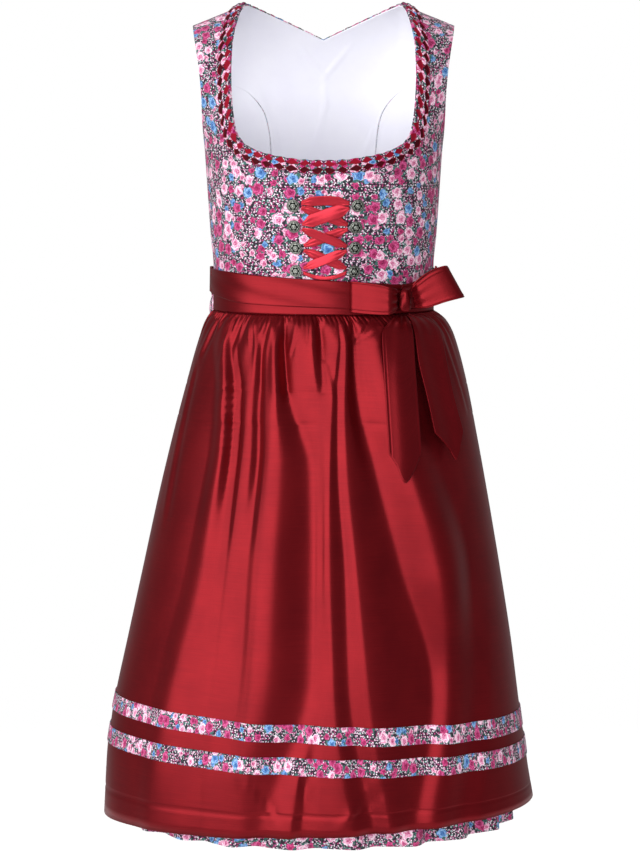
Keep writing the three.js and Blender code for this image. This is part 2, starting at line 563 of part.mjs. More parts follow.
// ---- skirt and apron ----
function skirtGrid(from, folds) {
  const columns = folds * FOLD_STEPS;
  return skirtForm.map((row) =>
    steps(columns).map((i) => {
      const turn = degToRad(from + (180 * i) / columns);
      const phase = (2 * Math.PI * i) / FOLD_STEPS;
      const wave = (1 - Math.cos(phase)) / 2 + UNEVEN.lean * Math.sin(2 * phase);
      const out = row.fold * wave * mix(1, UNEVEN.least, Math.cos(UNEVEN.turns * turn) ** 2);
      const depth = Math.cos(turn) >= 0 ? row.front : row.back;
      return point(row.shift + (row.width + out) * Math.sin(turn), -(depth + out) * Math.cos(turn), row.z);
    }));
}

function apronFold(angle, z) {
  const [places, heights] = ["angle", "height"].map((column) =>
    foldLines.map((line) => through(foldLevels, line[column], z)));
  return through(places, heights, angle);
}
const apronGrid = apronForm.map((row) =>
  steps(APRON_COLUMNS).map((i) => {
    const angle = mix(-row.reach, row.reach, i / APRON_COLUMNS);
    const turn = degToRad(angle);
    const pleat = row.gather * Math.sin((2 * Math.PI * GATHERS * i) / APRON_COLUMNS);
    const out = row.fold * apronFold(angle, row.z) + pleat;
    const x = row.shift + (row.width + out) * Math.sin(turn);
    return point(x, -(row.front + out) * Math.cos(turn), row.z + row.tilt * x);
  }));
const apronNormals = normalsOf(sheetOf([apronGrid]));

// ---- waist ----
const waistPoint = (angle, z) => {
  const turn = degToRad(angle);
  const at = Math.max(z, WAIST_Z);
  const depth = Math.cos(turn) >= 0 ? "front" : "back";
  return point(read(torso, "width", at) * Math.sin(turn), -read(torso, depth, at) * Math.cos(turn), z);
};
const edgeAt = (angle, column) =>
  read(waistEdges, column, read(torso, "width", WAIST_Z) * Math.sin(degToRad(angle)), "x");

// A band round the waist between two angles: its rows follow the edges, its lift may change on the way.
function waistBand(from, to, edges, thick) {
  const count = Math.round(Math.abs(to - from) / BAND_STEP);
  const columns = steps(count).map((i) => mix(Math.min(from, to), Math.max(from, to), i / count));
  const rowAt = (share) => (lift) => columns.map((angle, i) => {
    const { low, top } = edges(angle);
    const z = mix(low + SEAM / 2, top, share);
    const foot = waistPoint(angle, z);
    const away = waistPoint(angle + 0.5, z).sub(waistPoint(angle - 0.5, z)).cross(point(0, 0, 1)).normalize();
    const tangent = waistPoint(angle + 0.5, z).sub(waistPoint(angle - 0.5, z)).normalize();
    const drawn = i === 0 ? SEAM / 2 : i === count ? -SEAM / 2 : 0;
    return foot.addScaledVector(away, lift(angle)).addScaledVector(tangent, drawn);
  });
  const shares = [0, 1];
  return slab(
    shares.map((share) => rowAt(share)((angle) => edges(angle).lift)),
    shares.map((share) => rowAt(share)((angle) => edges(angle).lift + thick)),
  );
}
const beltEdges = (angle) => ({ low: BELT_LOW, top: edgeAt(angle, "belt"), lift: CLOTH / 2 + SEAM });
const tieOverBelt = (angle) => ({
  low: edgeAt(angle, "tieLow"),
  top: edgeAt(angle, "tieTop"),
  lift: CLOTH / 2 + 2 * SEAM + BELT_THICK,
});
const tieEdges = (table) => {
  const rows = table[0].angle < table[1].angle ? table : [...table].reverse();
  return (angle) => ({
    low: read(rows, "low", angle, "angle"),
    top: read(rows, "top", angle, "angle"),
    lift: read(rows, "lift", angle, "angle"),
  });
};

// A loop of the bow: a strip that runs along its path, standing across it.
function loopGrid(path) {
  const last = path.length - 1;
  const places = steps(last);
  const at = (column, s) => through(places, path.map((p) => p[column]), s);
  return [-1, 0, 1].map((v) => steps(2 * last).map((i) => {
    const s = i / 2;
    return point(at("x", s) - v * at("lean", s), at("y", s), at("z", s) + v * at("half", s));
  }));
}

// A tail of the bow: it hangs clear of the apron's folds, with one soft fold along its length.
function tailGrid({ rows, end, endLeft, endRight, fold }) {
  const shares = steps(4).map((i) => i / 4);
  const on = (x, z, share) => {
    const soft = fold * (0.5 - 0.5 * Math.cos(2 * Math.PI * share)) * ease((TAIL_FOLD.top - z) / TAIL_FOLD.over);
    const lift = read(tailClear, "lift", z) + soft;
    const [width, front] = ["width", "front"].map((column) => read(apronForm, column, z) + lift);
    return point(x, -front * Math.sqrt(1 - ((x - read(apronForm, "shift", z)) / width) ** 2), z);
  };
  const last = rows[rows.length - 1];
  const grid = rows.map((row) => shares.map((t) => on(mix(row.left, row.right, t), row.z, t)));
  for (const s of [0.5, 1]) {
    grid.push(shares.map((t, i) =>
      on(mix(mix(last.left, endLeft, s), mix(last.right, endRight, s), t), mix(last.z, end[i], s), t)));
  }
  return grid.reverse();
}

// A stretch of the lacing ribbon: narrow where it passes through a button's eye.
function ribbonGrid({ x0, z0, up0, x1, z1, up1, sag, half }) {
  const [start, stop] = [z0 + up0 * RIBBON.part, z1 + up1 * RIBBON.part];
  const length = Math.hypot(x1 - x0, stop - start);
  const [alongX, alongZ] = [(x1 - x0) / length, (stop - start) / length];
  return [-1, 1].map((v) => steps(RIBBON.steps).map((i) => {
    const t = i / RIBBON.steps;
    const wide = mix(RIBBON.end, half, ease((length * Math.min(t, 1 - t)) / RIBBON.ease));
    const bow = sag * Math.sin(Math.PI * t);
    return onFront(mix(x0, x1, t) - v * wide * alongZ, mix(start, stop, t) + bow + v * wide * alongX);
  }));
}

// ---- assembly ----
const group = new THREE.Group();
group.name = "dirndl";
function add(name, geometry, material) {
  const mesh = new THREE.Mesh(geometry, new THREE.MeshStandardMaterial(materials[material]));
  mesh.name = name;
  group.add(mesh);
  return mesh;
}

const shell = { normals: bodiceNormals };
add("bodice_front_left", wall(leftFront, shell), "print");
add("bodice_front_right", wall(rightFront, shell), "print");
add("bodice_back_center", wall(backCentre, shell), "print");
add("bodice_back_side_left", wall(leftBack, shell), "print");
add("bodice_back_side_right", wall(rightBack, shell), "print");
const inside = { normals: bodiceNormals, outer: -CLOTH / 2 - SEAM, inner: -CLOTH / 2 - SEAM - THIN };
add("lining_back_center", wall(backCentre, inside), "lining");
add("lining_back_side_left", wall(leftBack, inside), "lining");
add("lining_back_side_right", wall(rightBack, inside), "lining");

const frontLine = [...frontNeck, ...strap, trimEnd];
const [frontFoot, frontFace] = trimAlong(onFront, frontLine, TRIM.proud);
add("neck_trim_front_left", slab(frontFace, frontFoot), "trim");
add("neck_trim_front_right", slab(mirror(frontFace), mirror(frontFoot)), "trim");
const [backFoot, backFace] = trimAlong(onBack, backTrim, -TRIM.low);
add("neck_trim_back", slab(across(backFoot), across(backFace)), "trim");

const skirtFront = [skirtGrid(-90, FRONT_FOLDS)];
const skirtBack = [skirtGrid(90, BACK_FOLDS)];
const skirtNormals = normalsOf(sheetOf([...skirtFront, ...skirtBack]));
add("skirt_front", wall(skirtFront, { normals: skirtNormals }), "print");
add("skirt_back", wall(skirtBack, { normals: skirtNormals }), "print");
add("apron", wall([apronGrid], { normals: apronNormals }), "taffeta");
const laid = CLOTH / 2 + SEAM;
for (const [name, [low, top]] of Object.entries(bandRows)) {
  const lies = { normals: apronNormals, inner: laid, outer: laid + THIN };
  add(name, wall([[apronGrid[low], apronGrid[top]]], lies), "print");
}

const knotAngle = radToDeg(Math.asin(KNOT.x / read(torso, "width", WAIST_Z)));
add("apron_waistband", waistBand(-BELT_REACH, BELT_REACH, beltEdges, BELT_THICK), "taffeta");
add("tie_front_right", waistBand(-TIE_REACH, knotAngle, tieOverBelt, TIE_THICK), "taffeta");
add("tie_front_left", waistBand(knotAngle, TIE_REACH, tieOverBelt, TIE_THICK), "taffeta");
add("tie_back_right", waistBand(TIE_REACH, 360 - TIE_REACH, tieEdges(tieRight), TIE_THICK), "taffeta");
add("tie_back_left", waistBand(TIE_REACH, 360 - TIE_REACH, tieEdges(tieLeft), TIE_THICK), "taffeta");

// A closed body turned about its axis, from the radius and height of each ring.
const lathe = (rings, count) =>
  new THREE.LatheGeometry(rings.map(([radius, height]) => new THREE.Vector2(radius, height)), count);
const knotTangent = waistPoint(knotAngle + 0.5, KNOT.z).sub(waistPoint(knotAngle - 0.5, KNOT.z)).normalize();
const knotAway = knotTangent.clone().cross(point(0, 0, 1));
const knot = add(
  "bow_knot",
  lathe([[0, -1], [0.7, -0.93], [0.98, -0.6], [0.9, 0], [0.98, 0.6], [0.7, 0.93], [0, 1]], 12).rotateX(Math.PI / 2),
  "taffeta",
);
knot.position.copy(waistPoint(knotAngle, KNOT.z).addScaledVector(knotAway, KNOT.lift + KNOT.deep));
knot.rotation.z = Math.atan2(knotTangent.y, knotTangent.x);
knot.scale.set(KNOT.wide, KNOT.deep, KNOT.tall);
for (const [name, path] of Object.entries(loops)) {
  add(name, wall([loopGrid(path)], { outer: TIE_THICK / 2, inner: -TIE_THICK / 2 }), "taffeta");
}
for (const [name, tail] of Object.entries(tails)) {
  add(name, wall([tailGrid(tail)], { outer: TIE_THICK / 2, inner: -TIE_THICK / 2 }), "taffeta");
}

for (const [name, stretch] of Object.entries(lacing)) {
  const lift = CLOTH / 2 + SEAM + RIBBON.clear + stretch.level * (THIN + SEAM);
  add(name, wall([ribbonGrid(stretch)], { inner: lift, outer: lift + THIN }), "satin");
}
for (const [name, { x, z, radius, lift }] of Object.entries(buttons)) {
  const rings = [[0, 0], [radius, 0], [radius * 1.02, 1.1], [radius * 0.62, 2.4], [0, 3]];
  const button = add(name, lathe(rings, BUTTON_STEPS), "silver");
  button.position.copy(onFront(x, z).addScaledVector(frontNormal(x, z), lift));
  button.quaternion.setFromUnitVectors(point(0, 1, 0), frontNormal(x, z));
}

export default group;
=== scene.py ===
"""A dirndl: printed cotton bodice and skirt, taffeta apron with a bow, satin lacing and filigree buttons.

Every piece is a surface of two parameters, worked out in millimetres with numpy and put into a mesh in
metres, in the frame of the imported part: +X is the wearer's left, -Y the front, +Z up.
"""

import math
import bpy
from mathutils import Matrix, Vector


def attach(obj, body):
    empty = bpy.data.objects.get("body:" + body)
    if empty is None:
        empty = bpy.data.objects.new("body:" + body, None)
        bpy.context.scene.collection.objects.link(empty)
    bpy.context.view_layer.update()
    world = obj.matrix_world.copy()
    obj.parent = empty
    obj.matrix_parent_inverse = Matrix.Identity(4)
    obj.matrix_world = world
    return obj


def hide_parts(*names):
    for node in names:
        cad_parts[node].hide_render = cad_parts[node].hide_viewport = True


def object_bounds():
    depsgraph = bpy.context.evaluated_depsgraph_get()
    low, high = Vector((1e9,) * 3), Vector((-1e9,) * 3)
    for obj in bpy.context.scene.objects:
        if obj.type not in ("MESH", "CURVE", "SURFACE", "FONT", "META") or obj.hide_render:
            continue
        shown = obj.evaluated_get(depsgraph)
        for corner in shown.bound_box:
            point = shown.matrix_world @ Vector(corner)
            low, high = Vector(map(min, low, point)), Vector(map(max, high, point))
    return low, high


bl_info = {
    "name": "Dirndl",
    "version": (1, 0, 0),
    "blender": (4, 5, 0),
    "location": "3D View > Sidebar > Dirndl",
    "description": "Makes the cloth, trim, lacing, buttons and studio of a dirndl round its packed frame",
    "category": "Object",
}

import bpy
import numpy as np
from bpy.props import FloatProperty, FloatVectorProperty, IntProperty, PointerProperty
from bpy.types import Operator, Panel, PropertyGroup
from mathutils import Vector

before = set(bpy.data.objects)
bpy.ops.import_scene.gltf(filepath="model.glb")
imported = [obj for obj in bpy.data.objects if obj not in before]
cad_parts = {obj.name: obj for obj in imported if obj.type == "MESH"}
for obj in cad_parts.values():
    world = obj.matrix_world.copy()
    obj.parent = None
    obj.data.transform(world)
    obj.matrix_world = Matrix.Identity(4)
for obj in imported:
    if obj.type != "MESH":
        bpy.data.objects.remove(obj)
CAD_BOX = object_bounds()
MM = 0.001  # millimetres to metres

# ---- heights and edges of the garment, in mm ----
WAIST_Z = -330
UNDERARM_Z = -150
SHOULDER_REACH = 110
NECK_X, NECK_Z, TIP_X, TIP_Z = 91, 8.4, 154, -17  # the shoulder seam's two ends
BELT_LOW = -351
BELT_THICK = 2.2
TIE_THICK = 1.6
CLOTH = 1.2
THIN = 1.0
SEAM = 0.3  # gap between layers of cloth
WELD = 50  # points of one surface that agree to a 50th of a millimetre become one
BUST = {"x": 62, "z": -205, "spread_x": 42, "spread_z": 50, "out": 7}
CLOSING_DEEP = 1.1  # how far both fronts roll in at the concealed closing
# how the print is laid: share of the arc's length, length of the shoulder's turn per radian, and where the
# cloth of the bodice's back and of the skirt's back starts, in mm
LAY = {"arc": 0.9, "turn": 105, "back": 700, "skirt_back": 900}

# ---- sections, from low to high ----
TORSO = {
    "z": [-330, -300, -262, -219, -177, -150, -125, -95, -60, -12, 20],
    "width": [131, 130.5, 133.8, 136.6, 139.3, 141.5, 150, 164, 180, 196, 200],
    "front": [104, 105, 111, 120, 125, 123, 119, 111, 101, 90, 84],
    "back": [92, 91, 95, 103, 110, 113, 114, 113, 109, 101, 95],
}
SKIRT = {
    "z": [-968, -830, -696, -560, -440, -380, -352.5, -330],
    "width": [224, 213, 198, 176, 152, 138, 131, 131],
    "front": [161, 153, 143, 130, 113, 105.5, 104, 104],
    "back": [205, 195, 181, 161, 136, 114, 92, 92],
    "shift": [-5, -5, -2.4, 1, 4, 3, 0, 0],
    "fold": [13, 12, 10, 8, 5.5, 3, 0, 0],
}
SKIRT_FOLDS = {"front": 10, "back": 13}
FOLD_COLUMNS, SKIRT_ROWS = 22, 90
# where the gathers swell out at the wearer's right hip, behind the waistband's end, in degrees and mm
HIP_PUFF = {"out": 5, "angle": 270, "spread": 14, "z": -350, "tall": 24}
APRON = {
    "z": [-950, -879.5, -859, -842, -821, -740, -660, -579, -500, -430, -385, -363, -351.3],
    "tilt": [0.036, -0.033, -0.031, -0.045, -0.039, -0.02, -0.01, 0, 0, 0, 0, 0, 0],
    "width": [258, 250.6, 247.5, 244.7, 241.1, 226.8, 211.5, 195.7, 178.9, 162.9, 150.7, 142.5, 133],
    "front": [180, 177, 176, 175, 173.5, 166.5, 157.5, 147.5, 136, 125.5, 117, 112, 106],
    "shift": [-5, -6.6, -6.5, -6.3, -6, -3.4, -1.6, 0, 2.3, 4.4, 4.8, 3.4, 0],
    "reach": [97, 96, 96, 95.5, 95.5, 94.5, 93, 91, 89, 86, 83, 79.5, 77],
    "gather": [0, 0, 0, 0, 0, 0, 0, 0, 0, 0, 0.4, 1, 0.5],
    "fold": [1, 1, 1, 1, 1, 1, 1, 1, 1, 1, 0.95, 0.6, 0.1],
}
APRON_BANDS = {"apron_band_lower": (1, 2), "apron_band_upper": (3, 4)}  # section rows that bound each band
APRON_CUT = 1150  # width of the apron's cloth before it is gathered
APRON_GATHERS = 23
APRON_MIDDLE = APRON["z"].index(-430)  # section row above which the grid's rows stand closer
# Soft folds of the apron, as the lines of its crests and hollows from the wearer's right to left: each
# line's angle from the centre front, in degrees, and its height above the fan, at six levels.
FOLD_LEVELS = [-940, -767, -640, -521, -440, -385]
FOLD_LINES = [
    {"angle": [-99, -99, -99, -99, -99, -99], "height": [0, 0, 0, 0, 0, 0]},
    {"angle": [-74, -74, -73, -73, -74, -75], "height": [5, 5, 5, 5, 4, 3]},
    {"angle": [-57.5, -53.5, -49.5, -48.5, -53, -63], "height": [2, 2, 2, 1, 1, 1]},
    {"angle": [-49.5, -44.5, -40, -40, -44.5, -50.5], "height": [4, 5, 6, 7, 6.5, 6]},
    {"angle": [-34, -34.5, -35, -37.7, -42.2, -48.5], "height": [2.5, 2, 2.6, -4, -5, 0]},
    {"angle": [-32.5, -32.5, -32.5, -34.5, -38.3, -45], "height": [2.6, 2, 3, -3.5, -5, 0]},
    {"angle": [-31, -30.5, -30.5, -31, -34.5, -42], "height": [3.2, 2.6, 4.2, 4.2, 3.8, 1.5]},
    {"angle": [-28.5, -28, -27.5, -28, -31, -32], "height": [4, 3, 5, 5.5, 5.5, 4.5]},
    {"angle": [-26, -23, -24, -25, -28.3, -29.5], "height": [4.3, 6, 7, -0.5, 0, 2]},
    {"angle": [-23.5, -20.5, -21, -21.5, -24.5, -26.5], "height": [5.2, 9.5, 11, 6.5, 5.5, 4]},
    {"angle": [-21, -17.5, -17.5, -18, -20, -23], "height": [6, 13, 14, 10, 9, 6]},
    {"angle": [-15, -2.5, -3, -5, -16.5, -20], "height": [-1, -5, -5, -5, -5, -4]},
    {"angle": [-7.5, -1, -1.5, -2.5, -11, -13.5], "height": [5, -3, -2, -2, -1, 3]},
    {"angle": [-4.5, 0.5, 0, -1, -5, -7], "height": [-1, -0.5, 1, 1, 2.5, 6]},
    {"angle": [0, 2, 1, 0.5, -2.5, -3], "height": [4, 2, 4, 4, 3, -2]},
    {"angle": [8, 3.5, 2, 1.5, 2, 4.5], "height": [7, 4, 5, 5, 6, 6]},
    {"angle": [14, 8, 7, 4.5, 4, 5.5], "height": [-2, 0, 0, 1, 4, 5]},
    {"angle": [18.5, 13.5, 10.5, 7.5, 6.5, 7.5], "height": [5, 7, 6, 4, 6, 6]},
    {"angle": [25, 33.5, 25, 17.5, 12, 11.5], "height": [-2, -4, -5, -5, -5, -4]},
    {"angle": [31.5, 40, 38.5, 30, 24, 22.5], "height": [6, 8, 22, 18, 13, 8]},
    {"angle": [40.5, 51, 54.5, 44.5, 35.5, 33.5], "height": [0, 3, 5, 7, 5, 2]},
    {"angle": [47, 59, 64.5, 58, 47.5, 43.5], "height": [4, 5, 5, 6, 6, 5]},
    {"angle": [99, 99, 99, 99, 99, 99], "height": [0, 0, 0, 0, 0, 0]},
]
# Short creases below the gathers and near the hem: angle in degrees and height of each end, half width in
# degrees, and how far the cloth steps down across the crease, towards the wearer's left, in mm.
APRON_CREASES = [  # start angle, start z, stop angle, stop z, half width, step
    (-65.2, -348, -70.4, -408, 2.6, 2.4),
    (-55.8, -347, -59.1, -372, 1.8, 1.5),
    (-44.0, -349, -49.3, -392, 2.2, 2.2),
    (-38.7, -350, -34.5, -392, 1.2, 1.2),
    (-34.8, -352, -32.0, -388, 1.1, 1.0),
    (-33.1, -360, -27.4, -452, 1.4, 1.8),
    (-27.8, -356, -30.7, -376, 1.5, 1.3),
    (-23.5, -362, -17.7, -452, 2.3, 3.2),
    (-20.6, -356, -20.6, -382, 1.3, 1.1),
    (-12.5, -355, -16.4, -399, 1.3, 1.4),
    (-8.9, -354, -9.9, -384, 1.3, 1.2),
    (-4.6, -356, -2.8, -444, 2.4, 2.8),
    (0.6, -352, -2.7, -366, 1.4, 1.2),
    (5.9, -352, 4.7, -368, 1.3, 1.0),
    (-0.3, -404, 3.5, -450, 1.6, 1.8),
    (11.3, -352, 7.9, -450, 1.6, 1.7),
    (19.6, -357, 11.6, -384, 1.8, 2.2),
    (22.8, -366, 13.6, -380, 1.5, 1.3),
    (15.8, -412, 17.5, -462, 1.6, 1.6),
    (-19.9, -883, -11.2, -928, 1.3, 3.0),
    (-4.7, -880, -4.7, -908, 1.4, 2.6),
    (-1.9, -880, -4.5, -908, 1.2, -1.8),
    (17.7, -882, 5.3, -944, 1.8, 3.0),
    (62.0, -380, 70.0, -470, 2.5, 2.0),
    (-72.0, -420, -66.0, -600, 2.6, 2.0),
]
# The gathering stitches' fine puckers: they fade from the full height to the low one, which wanders with the
# product of two waves across the apron.
PUCKERS = {"count": 71, "deep": 1.0, "low": -363, "full": -355, "wander": 7, "waves": (29, 11.3)}
# Stitching of the hem and two pressed lines: height and depth, and half width
HEM_LINES = {-925: 0.7, -476: 0.35, -439: 0.35}
LINE_WIDE = 2.5

# ---- edges of the bodice on the wearer's left, as (x, z) ----
# the neckline, the trim's other edge, the armhole and the back's curved seam
FRONT_NECK = [(0, -172.5), (25, -171.5), (48, -168.5), (72, -163), (92, -153.5)]
FRONT_TRIM = [(0, -187.5), (25.5, -186.5), (49.5, -183.5), (75.5, -177.5), (101, -165.5)]
STRAP_NECK = [(92, -153.5), (101, -138.5), (105.5, -108), (107, -73), (106, -42), (101, -13), (96, 2),
              (91, 8.4)]
STRAP_TRIM = [(101, -165.5), (115, -144.5), (120.3, -110), (122, -73), (121, -42.5), (116, -18.5),
              (111, -3.5), (106, 2.35)]
STRAP_ARM = [(141.5, -150), (141.8, -128), (142.2, -102), (144.5, -73), (148.5, -46.5), (151.8, -29),
             (153.4, -20), (154, -17)]
BACK_NECK = [(0, -31.5), (30, -17.5), (60, -4), (80, 4.6), (87.5, 7.4), (91, 8.4)]
BACK_TRIM = [(0, -46.5), (34, -32.5), (66, -18.5), (89, -8.4), (100, -1.8), (106, 2.35)]
BACK_SEAM = [(42, -330), (47, -300), (52, -270), (57, -240), (61, -210), (64, -180), (66, -150), (72, -122),
             (94, -94), (144, -73)]
BACK_ARM = [(141.5, -150), (141.8, -128), (142.2, -102), (144.5, -73)]
BACK_TOP_ARM = [(144.5, -73), (148.5, -46.5), (151.8, -29), (153.3, -21.3), (154, -17)]
BACK_SPLIT = -79  # height on the centre line where the back's rows start to bend up to the neckline
SIDE_ROWS = 6  # rows of BACK_SEAM that run across to the side seam; those above run to the armhole
SEAM_ROWS = 90  # grid rows along the curved seam, the same in the panels on its two sides

LINING_PULLS = [  # x and z of the middle, lean, half width, half length, height
    (14, -60, 0.8, 6, 34, 1.5),
    (-12, -58, -0.7, 6, 34, 1.3),
    (60, -150, 0.5, 8, 60, 1.3),
    (-66, -130, -0.35, 8, 70, 1.2),
    (35, -210, 0.2, 9, 80, 1.0),
    (-30, -230, -0.15, 9, 80, 0.9),
]

# Mouths of the trim: places across the strip and half width as shares of it, half length as a share of a
# unit, depth as a share of the lips' height, and height of the fine pleats at the stitches
MOUTH = {"inner": 0.26, "outer": 0.74, "half_wide": 0.25, "half_long": 0.5, "deep": 0.82, "pleat": 0.22}
TRIM_ROWS, TRIM_COLUMNS = 20, 29  # grid rows along a unit of the trim, columns across it
TRIM_LIFT, TRIM_THICK = 1.9, 0.6  # middle of the strip's cloth above the bodice's form, and its wall

# ---- waist ----
WAIST_EDGES = {
    "x": [-140, -121, -90, 0, 60, 94, 118, 140],
    "belt": [-303, -304.5, -307, -312.5, -316, -317, -310, -301],
    "tie_top": [-301, -302.5, -305, -310.5, -314.5, -318, -308, -299],
    "tie_low": [-328, -333.5, -339.5, -342.5, -345, -346, -345, -343],
}
TIE_RIGHT = {
    "angle": [80, 92, 104, 180, 248, 256, 264, 280],
    "low": [-345, -343, -326, -325, -325, -327, -329, -330],
    "top": [-303, -303, -303, -303, -303, -302, -301, -301],
    "lift": [1.15, 1.15, 1.15, 1.15, 1.15, 3.05, 3.4, 3.4],
}
TIE_LEFT = {
    "angle": [80, 94, 103, 112, 180, 258, 270, 280],
    "low": [-343, -343, -345, -346, -347, -345, -334, -330],
    "top": [-299, -303, -327.5, -328, -327, -328.5, -309, -303],
    "lift": [3.4, 3.4, 3.05, 1.15, 1.15, 1.15, 1.15, 1.15],
}
BELT_REACH, TIE_REACH = 77, 80  # degrees from the centre front
KNOT = {"x": 88, "z": -335.5, "lift": 5.3, "wide": 8, "deep": 6.5, "tall": 14.5}
KNOT_CLOTH = (0.05, 0.032)  # cloth round the knot and along it, in metres
LOOP_HEM = 0.35  # depth of the stitched line inside the edges of the loops and tails
LOOPS = {
    "bow_loop_right": {
        "x": [84.8, 72, 58, 42, 35, 32, 34.5, 46, 62, 75, 84.3],
        "y": [-88.4, -94.9, -100.8, -105.6, -108.1, -111.8, -114.5, -117, -118.8, -119.2, -108],
        "z": [-334, -333.5, -332, -330.5, -330, -329.5, -329.5, -330.5, -332, -333.5, -334],
        "half": [12, 14.5, 16, 17, 18, 18, 18, 18, 17.5, 16, 13],
        "lean": [0, 0, 0, 0, 0, 0, 0, 0, 0, 0, 0],
    },
    "bow_loop_left": {
        "x": [103.6, 111, 126.5, 142.5, 150.5, 153, 147.5, 132.5, 115, 104.6],
        "y": [-82.5, -85.5, -86, -85.5, -87, -94, -101.5, -103.5, -103, -93.5],
        "z": [-332, -329, -321, -315, -313, -313, -314, -319, -328, -332.5],
        "half": [10, 14, 16.5, 18, 18, 18, 18, 17, 14.5, 11],
        "lean": [2, 6, 9, 10, 10, 10, 10, 9, 6, 2],
    },
}
TAILS = {
    "bow_tail_right": {
        "z": [-352, -358, -372, -405, -440, -507],
        "left": [85, 77, 67.5, 69, 71, 75],
        "right": [94.6, 98.5, 103.5, 105.5, 108, 113],
        "end": [-507, -522, -541, -529, -507],
        "fold": 3,
    },
    "bow_tail_left": {
        "z": [-352, -358, -372, -405, -440, -487],
        "left": [95.2, 101, 105.5, 110, 118.5, 129],
        "right": [105, 122, 136, 143.5, 150.5, 163],
        "end": [-487, -496, -507, -520, -488],
        "fold": -3,
    },
}
TAIL_CLEAR = {"z": [-530, -440, -390, -372, -358, -352], "lift": [24, 19.5, 14.5, 11, 6, 3.5]}

# ---- lacing and buttons: eyes and centres, as x and z ----
BUTTON_WALL = 0.9  # height of a button's rim
BUTTONS = {  # x, z, radius, and height of the button's foot above the bodice's form
    "button_right_1": (-35, -224, 7.5, 0.8),
    "button_right_2": (-34, -248, 7.5, 1.0),
    "button_right_3": (-32, -273, 7.5, 1.0),
    "button_right_4": (-32, -300, 7.0, 1.25),
    "button_left_1": (39, -224, 7.5, 0.8),
    "button_left_2": (37, -249, 7.5, 1.0),
    "button_left_3": (36, -273, 7.5, 1.0),
    "button_left_4": (35, -300.5, 7.0, 1.25),
}
EYE_STEP = 2.5  # how far the ends of the stretches stand above or below the eye
RIBBON_LIFT = 0.4
# name: x, z and step up or down of each end, how far the middle bows, layer, half width, and how far the
# upper edge stands out more than the lower one
LACING = {
    "lacing_bar_top": (-25.5, -223, 1, 29.5, -223.5, 1, 3, 0, 5.6, 1.6),
    "lacing_cross_1_under": (-25.5, -223, -1, 27.5, -248, 1, 0, 0, 5.2, 1.0),
    "lacing_cross_1_over": (-24.5, -247.5, 1, 29.5, -223.5, -1, 1, 1, 7.4, -2.2),
    "lacing_cross_2_under": (-22.5, -272.5, 1, 27.5, -248, -1, 0, 0, 5.2, -0.3),
    "lacing_cross_2_over": (-24.5, -247.5, -1, 26.5, -273, 1, 0, 1, 5.2, 2.6),
    "lacing_cross_3_under": (-22.5, -272.5, -1, 26, -299, 1, 0, 0, 5.2, 0.4),
    "lacing_cross_3_over": (-23, -299, 1, 26.5, -273, -1, 0, 1, 5.2, -1.8),
    "lacing_bar_bottom": (-23, -299, -1, 26, -299, -1, -7, 0, 2.2, 0),
}

# ---- camera, in metres and degrees ----
CAMERA_PLACE = (-0.0042, -3.4, -0.1)
CAMERA_DOWN = 6.5935
CAMERA_LENS, CAMERA_SENSOR = 120.374, 36  # mm, the sensor along the frame's longer side

# ---- floor and lights, in metres, degrees and watts ----
FLOOR_DROP = 0.45  # the floor lies this far under the hem
FLOOR_REACH = 6
FLOOR_FADE = (1.2, 3.0)  # distances from the middle between which the floor fades into the pale world
STUDIO_MIDDLE = (0, 0, -0.48)
WORLD_LIGHT, WORLD_SHOWN = 0.25, 1.0  # strength of the world as light, and as the background that is seen
# name: angle from the front towards the wearer's left, height and distance from the middle, size, and power,
# which the settings hold for the key and the fill
LIGHTS = {
    "key": (-33, 0.5, 3.0, (5.6, 2.8), None),
    "fill": (30, 0.4, 4.2, (1.6, 2.0), None),
    "top": (180, 2.6, 0.6, (1.6, 1.2), 22.0),
    "back_left": (-157, 0.5, 3.0, (1.2, 2.0), 34.0),
    "back_right": (157, 0.4, 3.0, (1.2, 2.0), 34.0),
}
SHINING = ("key", "top")  # lights that show in glossy cloth; the others only light it


def linear(code, alpha=1.0):
    """Turn an sRGB hex colour into linear red, green, blue and alpha."""
    parts = [int(code[i:i + 2], 16) / 255 for i in (1, 3, 5)]
    return tuple(c / 12.92 if c <= 0.04045 else ((c + 0.055) / 1.055) ** 2.4 for c in parts) + (alpha,)


# ---- numbers ----
def smooth(places, values, at):
    """A smooth curve through values at ascending places, without overshoot: cubic pieces whose slope at each
    place is the harmonic mean of the slopes on its two sides, or level where those differ in sign. Several
    curves at once are rows of places and values, with a row of at for each."""
    at = np.asarray(at, float)
    x, y = np.atleast_2d(np.asarray(places, float)), np.atleast_2d(np.asarray(values, float))
    place = np.clip(at.reshape(len(x), -1), x[:, :1], x[:, -1:])
    span = np.diff(x)
    slope = np.diff(y) / span
    before, after = np.concatenate([slope[:, :1], slope], 1), np.concatenate([slope, slope[:, -1:]], 1)
    both = before * after
    tangent = np.where(both > 0, 2 * both / np.where(both > 0, before + after, 1), 0)
    i = (place[:, :, None] >= x[:, None, 1:-1]).sum(-1)
    low, high, start, stop, wide = (np.take_along_axis(a, i, 1) for a in (
        y[:, :-1], y[:, 1:], tangent[:, :-1], tangent[:, 1:], span))
    t = (place - np.take_along_axis(x, i, 1)) / wide
    curve = ((1 + 2 * t) * (1 - t) ** 2 * low + t * (1 - t) ** 2 * wide * start
             + t * t * (3 - 2 * t) * high + t * t * (t - 1) * wide * stop)
    return curve.reshape(at.shape)


def read(table, column, at, by="z"):
    """One column of a table of sections, read smoothly at any place."""
    return smooth(table[by], table[column], at)


def ease(t):
    """Rise from 0 to 1 with level ends."""
    t = np.clip(t, 0, 1)
    return t * t * (3 - 2 * t)


def mix(a, b, t):
    """The value a share t of the way from a to b."""
    return a + (b - a) * t


